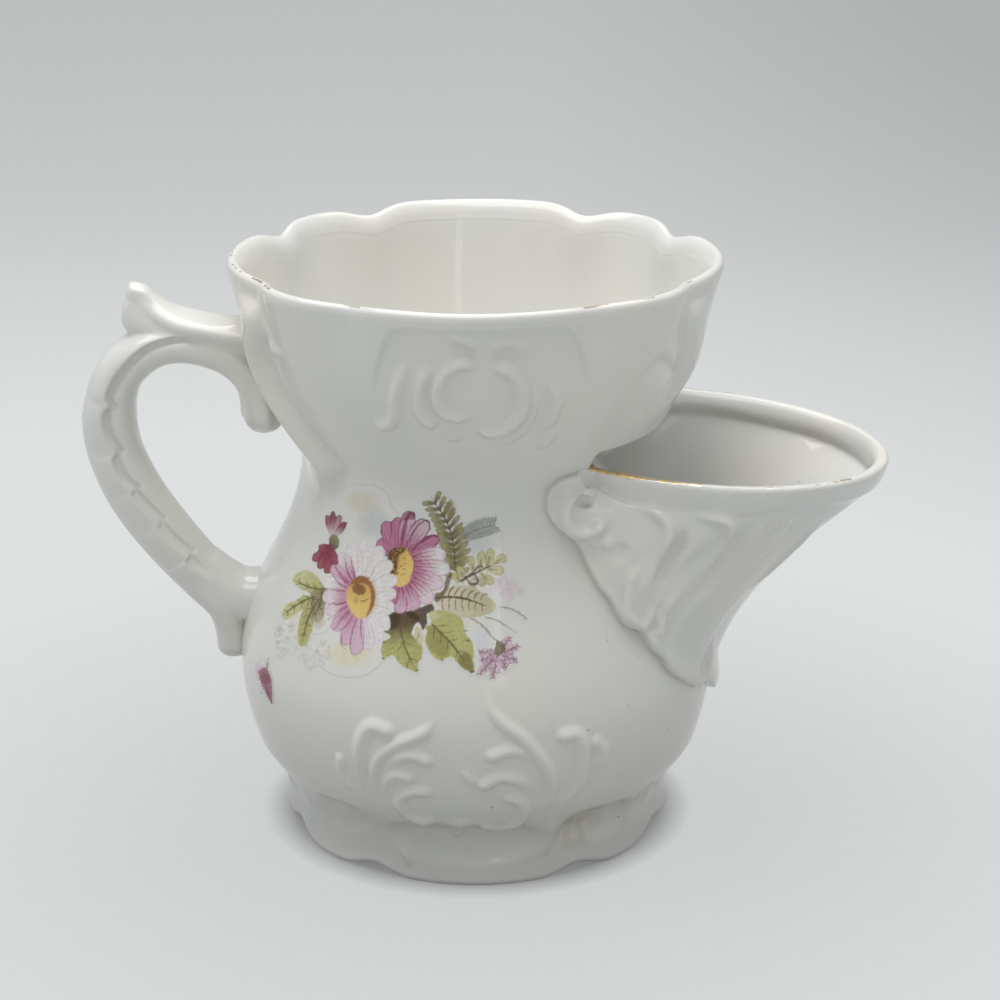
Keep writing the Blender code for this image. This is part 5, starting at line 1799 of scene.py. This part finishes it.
def paint_front_disc(sheet):
    turns = np.linspace(0, math.tau, FRONT_DISC_CORNERS, endpoint=False)
    disc = [oval_way(turn) * FRONT_DISC + FRONT_MIDDLE for turn in turns]
    sheet.patch(disc, YELLOW, cover=0.98, shade=FRONT_DISC_SHADE)
    sheet.patch(FRONT_DISC_DARK, BROWN, cover=0.85, fuzz=1.4, mottle=0.15)
    sheet.patch(FRONT_DISC_EYE, seen(118, 72, 44), cover=0.9, fuzz=1.3, mottle=0.2)
    sheet.patch(FRONT_DISC_GREEN, seen(150, 140, 70), cover=0.7, fuzz=1.2)
    sheet.line(FRONT_DISC_MARK, 1.4, BROWN, cover=0.7)
    sheet.line(FRONT_DISC_EDGE, 1.3, AMBER, cover=0.7)
    rays(sheet, **FRONT_RAYS, width=1.0, colour=seen(160, 116, 66), cover=0.5, fuzz=0.5)


# Bud by itself at the far left
LONE_PETALS = [     # base, tip, width, vein colour and cover
    ((263, 677), (253, 662), 8, MAUVE, 0.8),
    ((262, 678), (253, 678), 6, MAUVE, 0.8),
    ((264, 678), (260, 658), 6, MAGENTA, 0.7),
]
LONE_BODY = [(258, 671), (264, 667), (270, 674), (272, 686), (272, 704), (267, 696), (261, 683)]
LONE_RIB = [(263, 672), (266, 686), (271, 701)]
LONE_CUP = [(260, 676), (264, 672), (269, 675), (269, 683), (263, 684)]
LONE_STALK = [(268, 658), (267, 666), (266, 674)]
LONE_DOTS = dict(middle=(264, 684), size=(5, 16), colour=PLUM, cover=0.6, count=30, dot=1.2)


def paint_lone_bud(sheet):
    for base, tip, wide, vein, cover in LONE_PETALS:
        sheet.petal(base, tip, wide, PINK, PALE, vein, cover=cover)
    sheet.patch(LONE_BODY, MAGENTA, cover=0.9, mottle=0.2)
    sheet.line(LONE_RIB, 2.4, PLUM, cover=0.8)
    sheet.patch(LONE_CUP, CRIMSON, cover=0.85, mottle=0.2)
    sheet.line(LONE_STALK, 2.2, seen(112, 100, 80), cover=0.8, taper=(0.6, 0.1))
    sheet.speckle(**LONE_DOTS)


PAINTING_ORDER = (
    paint_background, paint_ferns, paint_twig, paint_striped_leaf, paint_tendrils, paint_ivy,
    paint_spider_flower,
    paint_sprig, paint_buds, paint_back_daisy, paint_front_petals, paint_front_disc, paint_lone_bud)


def in_view(points):
    """Where points show in the camera's square view."""
    tilt = math.radians(EYE_TILT)
    away = points - EYE
    depth = away @ (0, math.sin(tilt), -math.cos(tilt))
    scale = VIEW * LENS / SENSOR / depth
    down = away @ (0, math.cos(tilt), math.sin(tilt))
    return np.stack([VIEW / 2 + scale * away[:, 0], VIEW / 2 - scale * down], 1)


def widen(mask, times):
    """Grow the true cells of a grid to their neighbours."""
    for _ in range(times):
        grown = mask.copy()
        for axis in (0, 1):
            grown |= np.roll(mask, 1, axis) | np.roll(mask, -1, axis)
        mask = grown
    return mask


def build_print():
    (left, right), (low, high) = PRINT_AZIMUTHS, PRINT_LEVELS
    azimuths = np.linspace(left, right, int(math.radians(right - left) * BELLY_RADIUS / PRINT_STEP))
    z = np.linspace(low, high, int((high - low) / PRINT_STEP))
    grid = turned_grid(np.stack([pot_radius(z), z], 1), azimuths)
    grid = raise_rows(grid, False, pot_lift)
    grid = raise_rows(grid, False, lambda face: np.full(len(face), PRINT_PROUD))
    points = grid.reshape(-1, 3)
    sheet = Print(in_view(points), GLAZE)
    for paint in PAINTING_ORDER:
        paint(sheet)
    sheet.stipple()
    shown = widen((sheet.cover > PRINT_LEAST).reshape(grid.shape[:2]), 2)
    cells = shown[:-1, :-1] & shown[1:, :-1] & shown[:-1, 1:] & shown[1:, 1:]
    faces = grid_faces(*grid.shape[:2], False)[cells.ravel()]
    used = np.unique(faces)
    fresh = np.full(len(points), -1)
    fresh[used] = np.arange(len(used))
    piece = make_piece("flower_print", points[used], fresh[faces], ink_material("fired_print"))
    ink = piece.data.attributes.new("ink", "FLOAT_COLOR", "POINT")
    ink.data.foreach_set("color", np.column_stack([sheet.colour, sheet.cover])[used].ravel())
    return piece


dress(build_print())


# Gilding: worn films on the rim and the lip
GILT_PROUD = 0.03
GILT_COVER = 0.9
GILT_SOFT = 0.7             # span of wear over which the gold fades out
BARE = -0.7                 # what is left between the marks: too little to show
MARK_SOFT = 0.12            # share of a mark that fades out at either end
WEAR = [(0.35, 4.0, 3), (0.40, 1.3, 5), (0.25, 0.5, 8)]     # share, size in mm and seed of the wear's patches
FILM_FINER = 3              # rows of the film for each row of the surface below it
RIM_GOLD = [                # azimuths between which some gold is left, and how much
    (-96, -86, 0.4), (-80, -70, 0.3), (-66.5, -60.5, 0.6), (-58, -53, 0.8), (-32, -26, 0.5), (25, 33, 0.8),
    (34, 46, 0.5), (60, 64, 0.5), (150, 158, 0.4), (112, 118, 0.3),
]
RIM_GILT_WIDTH = 0.32
RIM_GILT_SHIFT = 0.3        # from the rim's crest to the middle of its gold
RIM_GILT_FROM = -100        # azimuth of the film's seam
RIM_GILT_COLUMNS = 2200
RIM_ROWS_BELOW = 2          # rows of the outside wall that the film takes in
LIP_GOLD = [                # shares of the lip between which some gold is left, and how much
    (-1.1, -0.84, 2.2), (-0.90, -0.70, 0.8), (-0.72, -0.50, 0.25), (-0.46, -0.30, 0.3), (0.55, 0.70, 0.4),
    (0.86, 1.1, 1.1),
]
LIP_GILT_WIDTH = 0.62
LIP_GILT_COLUMNS = 1100
LIP_ROWS = slice(14, 32)    # rows of the lip's roll that the film covers
LIP_GILT_MIDDLE = 8.0       # row of the film along which its gold runs
LIP_ROW_STEP = 0.16


def finer_rows(rows, across):
    """Rows set between those of a grid, with their places across the film."""
    fine = np.linspace(0, len(rows) - 1, (len(rows) - 1) * FILM_FINER + 1)
    low = np.minimum(fine.astype(int), len(rows) - 2)
    part = (fine - low)[:, None, None]
    film = rows[low] * (1 - part) + rows[low + 1] * part
    return film, np.interp(fine, np.arange(len(rows)), across)[:, None]


def lift_film(film, wrap):
    """Film raised off its surface, to the side that bulges."""
    normals = grid_normals(film, wrap)
    row, column = np.array(film.shape[:2]) // 2
    bulge = film[row, column] - film[:, column].mean(0)
    normals *= np.sign((normals[row, column] * bulge).sum())
    return film + normals * GILT_PROUD


def gold_left(along, marks):
    left = np.full(len(along), BARE)
    for start, end, amount in marks:
        soft = (end - start) * MARK_SOFT
        inside = smooth_step(along, start, start + soft) * (1 - smooth_step(along, end - soft, end))
        left = np.maximum(left, BARE + (amount - BARE) * inside)
    return left


def lay_on(piece, base):
    """Lay a film on the piece below it."""
    lay = piece.modifiers.new("lay", "SHRINKWRAP")
    lay.target = base
    lay.wrap_method = "NEAREST_SURFACEPOINT"
    lay.wrap_mode = "ABOVE_SURFACE"
    lay.offset = GILT_PROUD * MM
    bake_modifiers(piece)


def gilt_film(name, rows, wrap, across, along, marks, material, base=None):
    """Film over rows of a surface, with the gold that the marks leave along a line where across is 0."""
    film, across = finer_rows(rows, across)
    film = lift_film(film, wrap)
    wear = sum(share * wobble(film, size, seed) for share, size, seed in WEAR)
    gilt = GILT_COVER * smooth_step(gold_left(along, marks) + wear - across ** 2, 0.0, GILT_SOFT)
    piece = make_piece(name, film.reshape(-1, 3), grid_faces(*film.shape[:2], wrap), material)
    if base:
        lay_on(piece, base)
    piece.data.attributes.new("gilt", "FLOAT", "POINT").data.foreach_set("value", gilt.ravel())
    dress(piece)


def gild_rim():
    outline, outside, over = bowl_outline()
    part = outline[outside - RIM_ROWS_BELOW:outside + over]
    azimuths = np.linspace(RIM_GILT_FROM, RIM_GILT_FROM + 360, RIM_GILT_COLUMNS, endpoint=False)
    rows = bowl_grid(part, RIM_ROWS_BELOW, azimuths)
    run = np.concatenate([[0], np.cumsum(np.linalg.norm(np.diff(part, axis=0), axis=1))])
    across = (run - run[part[:, 1].argmax()] + RIM_GILT_SHIFT) / RIM_GILT_WIDTH
    material = gilt_material("tarnished_gilding", TARNISHED)
    gilt_film("rim_gilding", rows, True, across, azimuths, RIM_GOLD, material)


def gild_lip():
    share = np.linspace(-1, 1, LIP_GILT_COLUMNS)
    rows = lip_roll(share)[LIP_ROWS]
    across = (np.arange(len(rows)) - LIP_GILT_MIDDLE) * LIP_ROW_STEP / LIP_GILT_WIDTH
    material = gilt_material("worn_gilding", GOLD)
    gilt_film("lip_gilding", rows, False, across, share, LIP_GOLD, material, spout)


gild_rim()
gild_lip()


# Stage, light and camera, in metres
# Paper colour darker towards the back and the right: painted fall-off of light on the sweep
PAPER = (0.685, 0.705, 0.70)
PAPER_FAR_PAINTED_SHADE = (0.42, 0.43, 0.43)
PAPER_PAINTED_FALLOFF = [(0.0, PAPER), (0.45, PAPER), (1.0, PAPER_FAR_PAINTED_SHADE)]
PAPER_BACK = (-0.25, 0.80, 0.0, 1.0)        # y from and to, and how far along the painted fall-off they are
PAPER_RIGHT = (0.02, 0.20, 0.0, 0.17)       # the same for x
PAPER_FIBRES = [(0.3, (0.985, 0.985, 0.985)), (0.7, FULL)]
PAPER_FIBRE_SCALE = 300.0
PAPER_NEAR_PAINTED_SHADE = (0.05, 0.14, 0.40, 0.84)        # distances from the pot, and shares of light thrown back there: painted shade, the paper darker near the pot
PAPER_GLOW = 0.78                           # share of the paper's own colour in what the camera sees of it
PAPER_SHADOW = (0.033, 0.039, 0.35 * PAPER_GLOW, PAPER_GLOW)    # the glow goes out under the foot
PAPER_STRENGTH = 1.07
PAPER_ROUGH = 0.9
PAPER_SHEEN = 0.1
SWEEP_SIDES = (-1.6, 1.6)
SWEEP_FRONT = -1.2
SWEEP_BEND_FROM = 0.45
SWEEP_BEND = 0.35
SWEEP_BEND_ROWS = 24
SWEEP_TOP = 1.6
SKY = (0.97, 0.985, 1.0, 1.0)
SKY_STRENGTH = 0.56
SOFTBOX = dict(place=(-0.07, 0.10, 0.8), aim=(0, 0.05, 0.05), size=(1.0, 0.8), power=7.4)
WINDOW_PANES = [("left", 0.126), ("right", 0.154)]
WINDOW_Y_Z = (-0.70, 0.34)
WINDOW = dict(aim=(0, 0, 0.09), size=(0.010, 0.26), power=0.028)


def paper_material():
    """Paper that shows nearly shadowless to the camera and throws little light on the pot. It glows for camera
    and glossy rays; its colour darkens towards the back and the right, painted fall-off of light, and near the
    pot, painted shade.
    """
    material, tree, shader = node_material("paper_sweep")
    place = object_place(tree)
    split = tree.nodes.new("ShaderNodeSeparateXYZ")
    link(tree, place, split, "Vector")
    back = spread(tree, split.outputs["Y"], *PAPER_BACK)
    right = spread(tree, split.outputs["X"], *PAPER_RIGHT)
    # painted fall-off of light: the paper darker towards the back and the right
    tone = ramp(tree, arithmetic(tree, "ADD", back, right), PAPER_PAINTED_FALLOFF)
    paper = multiply(tree, tone, ramp(tree, noise(tree, place, PAPER_FIBRE_SCALE, 3.0), PAPER_FIBRES))
    off_foot = distance(tree, place, (AXIS_X * MM, 0, 0))
    # painted shade: the paper darker near the pot, so it also throws less light back on it
    link(tree, multiply(tree, paper, spread(tree, off_foot, *PAPER_NEAR_PAINTED_SHADE)), shader, "Base Color")
    shader.inputs["Roughness"].default_value = PAPER_ROUGH
    shader.inputs["Specular IOR Level"].default_value = PAPER_SHEEN
    glow = tree.nodes.new("ShaderNodeEmission")
    link(tree, paper, glow, "Color")
    glow.inputs["Strength"].default_value = PAPER_STRENGTH
    ray = tree.nodes.new("ShaderNodeLightPath").outputs
    either = arithmetic(tree, "MAXIMUM", ray["Is Camera Ray"], ray["Is Glossy Ray"])
    blend = tree.nodes.new("ShaderNodeMixShader")
    link(tree, arithmetic(tree, "MULTIPLY", either, spread(tree, off_foot, *PAPER_SHADOW)), blend, 0)
    link(tree, shader.outputs[0], blend, 1)
    link(tree, glow.outputs[0], blend, 2)
    link(tree, blend.outputs[0], tree.nodes["Material Output"], "Surface")
    return material


def build_stage():
    turn = np.linspace(0, math.pi / 2, SWEEP_BEND_ROWS)
    wall = SWEEP_BEND_FROM + SWEEP_BEND
    y = np.concatenate([[SWEEP_FRONT, 0.0], SWEEP_BEND_FROM + SWEEP_BEND * np.sin(turn), [wall]])
    z = np.concatenate([[0.0, 0.0], SWEEP_BEND - SWEEP_BEND * np.cos(turn), [SWEEP_TOP]])
    points = [(x, *spot) for spot in zip(y, z) for x in SWEEP_SIDES]
    mesh = bpy.data.meshes.new("sweep")
    mesh.from_pydata(points, [], grid_faces(len(y), 2, False).tolist())
    mesh.shade_smooth()
    mesh.materials.append(paper_material())
    sweep = bpy.data.objects.new("sweep", mesh)
    bpy.context.scene.collection.objects.link(sweep)


def area_light(name, place, aim, size, power):
    lamp = bpy.data.lights.new(name, "AREA")
    lamp.shape = "RECTANGLE"
    lamp.size, lamp.size_y = size
    lamp.energy = power
    obj = bpy.data.objects.new(name, lamp)
    obj.location = place
    obj.rotation_euler = (Vector(aim) - Vector(place)).to_track_quat("-Z", "Y").to_euler()
    bpy.context.scene.collection.objects.link(obj)


def light_stage():
    world = bpy.data.worlds.new("studio")
    bpy.context.scene.world = world
    world.use_nodes = True
    sky = world.node_tree.nodes["Background"]
    sky.inputs["Color"].default_value = SKY
    sky.inputs["Strength"].default_value = SKY_STRENGTH
    area_light("top_softbox", **SOFTBOX)
    for pane, x in WINDOW_PANES:
        area_light("window_" + pane, (x, *WINDOW_Y_Z), **WINDOW)


def set_camera():
    camera = bpy.data.cameras.new("camera")
    camera.lens = LENS
    camera.sensor_width = SENSOR
    eye = bpy.data.objects.new("camera", camera)
    eye.location = placed(EYE)
    eye.rotation_euler = (math.radians(EYE_TILT), 0, 0)
    bpy.context.scene.collection.objects.link(eye)
    bpy.context.scene.camera = eye
    bpy.context.scene.view_settings.view_transform = "Standard"


build_stage()
light_stage()
set_camera()
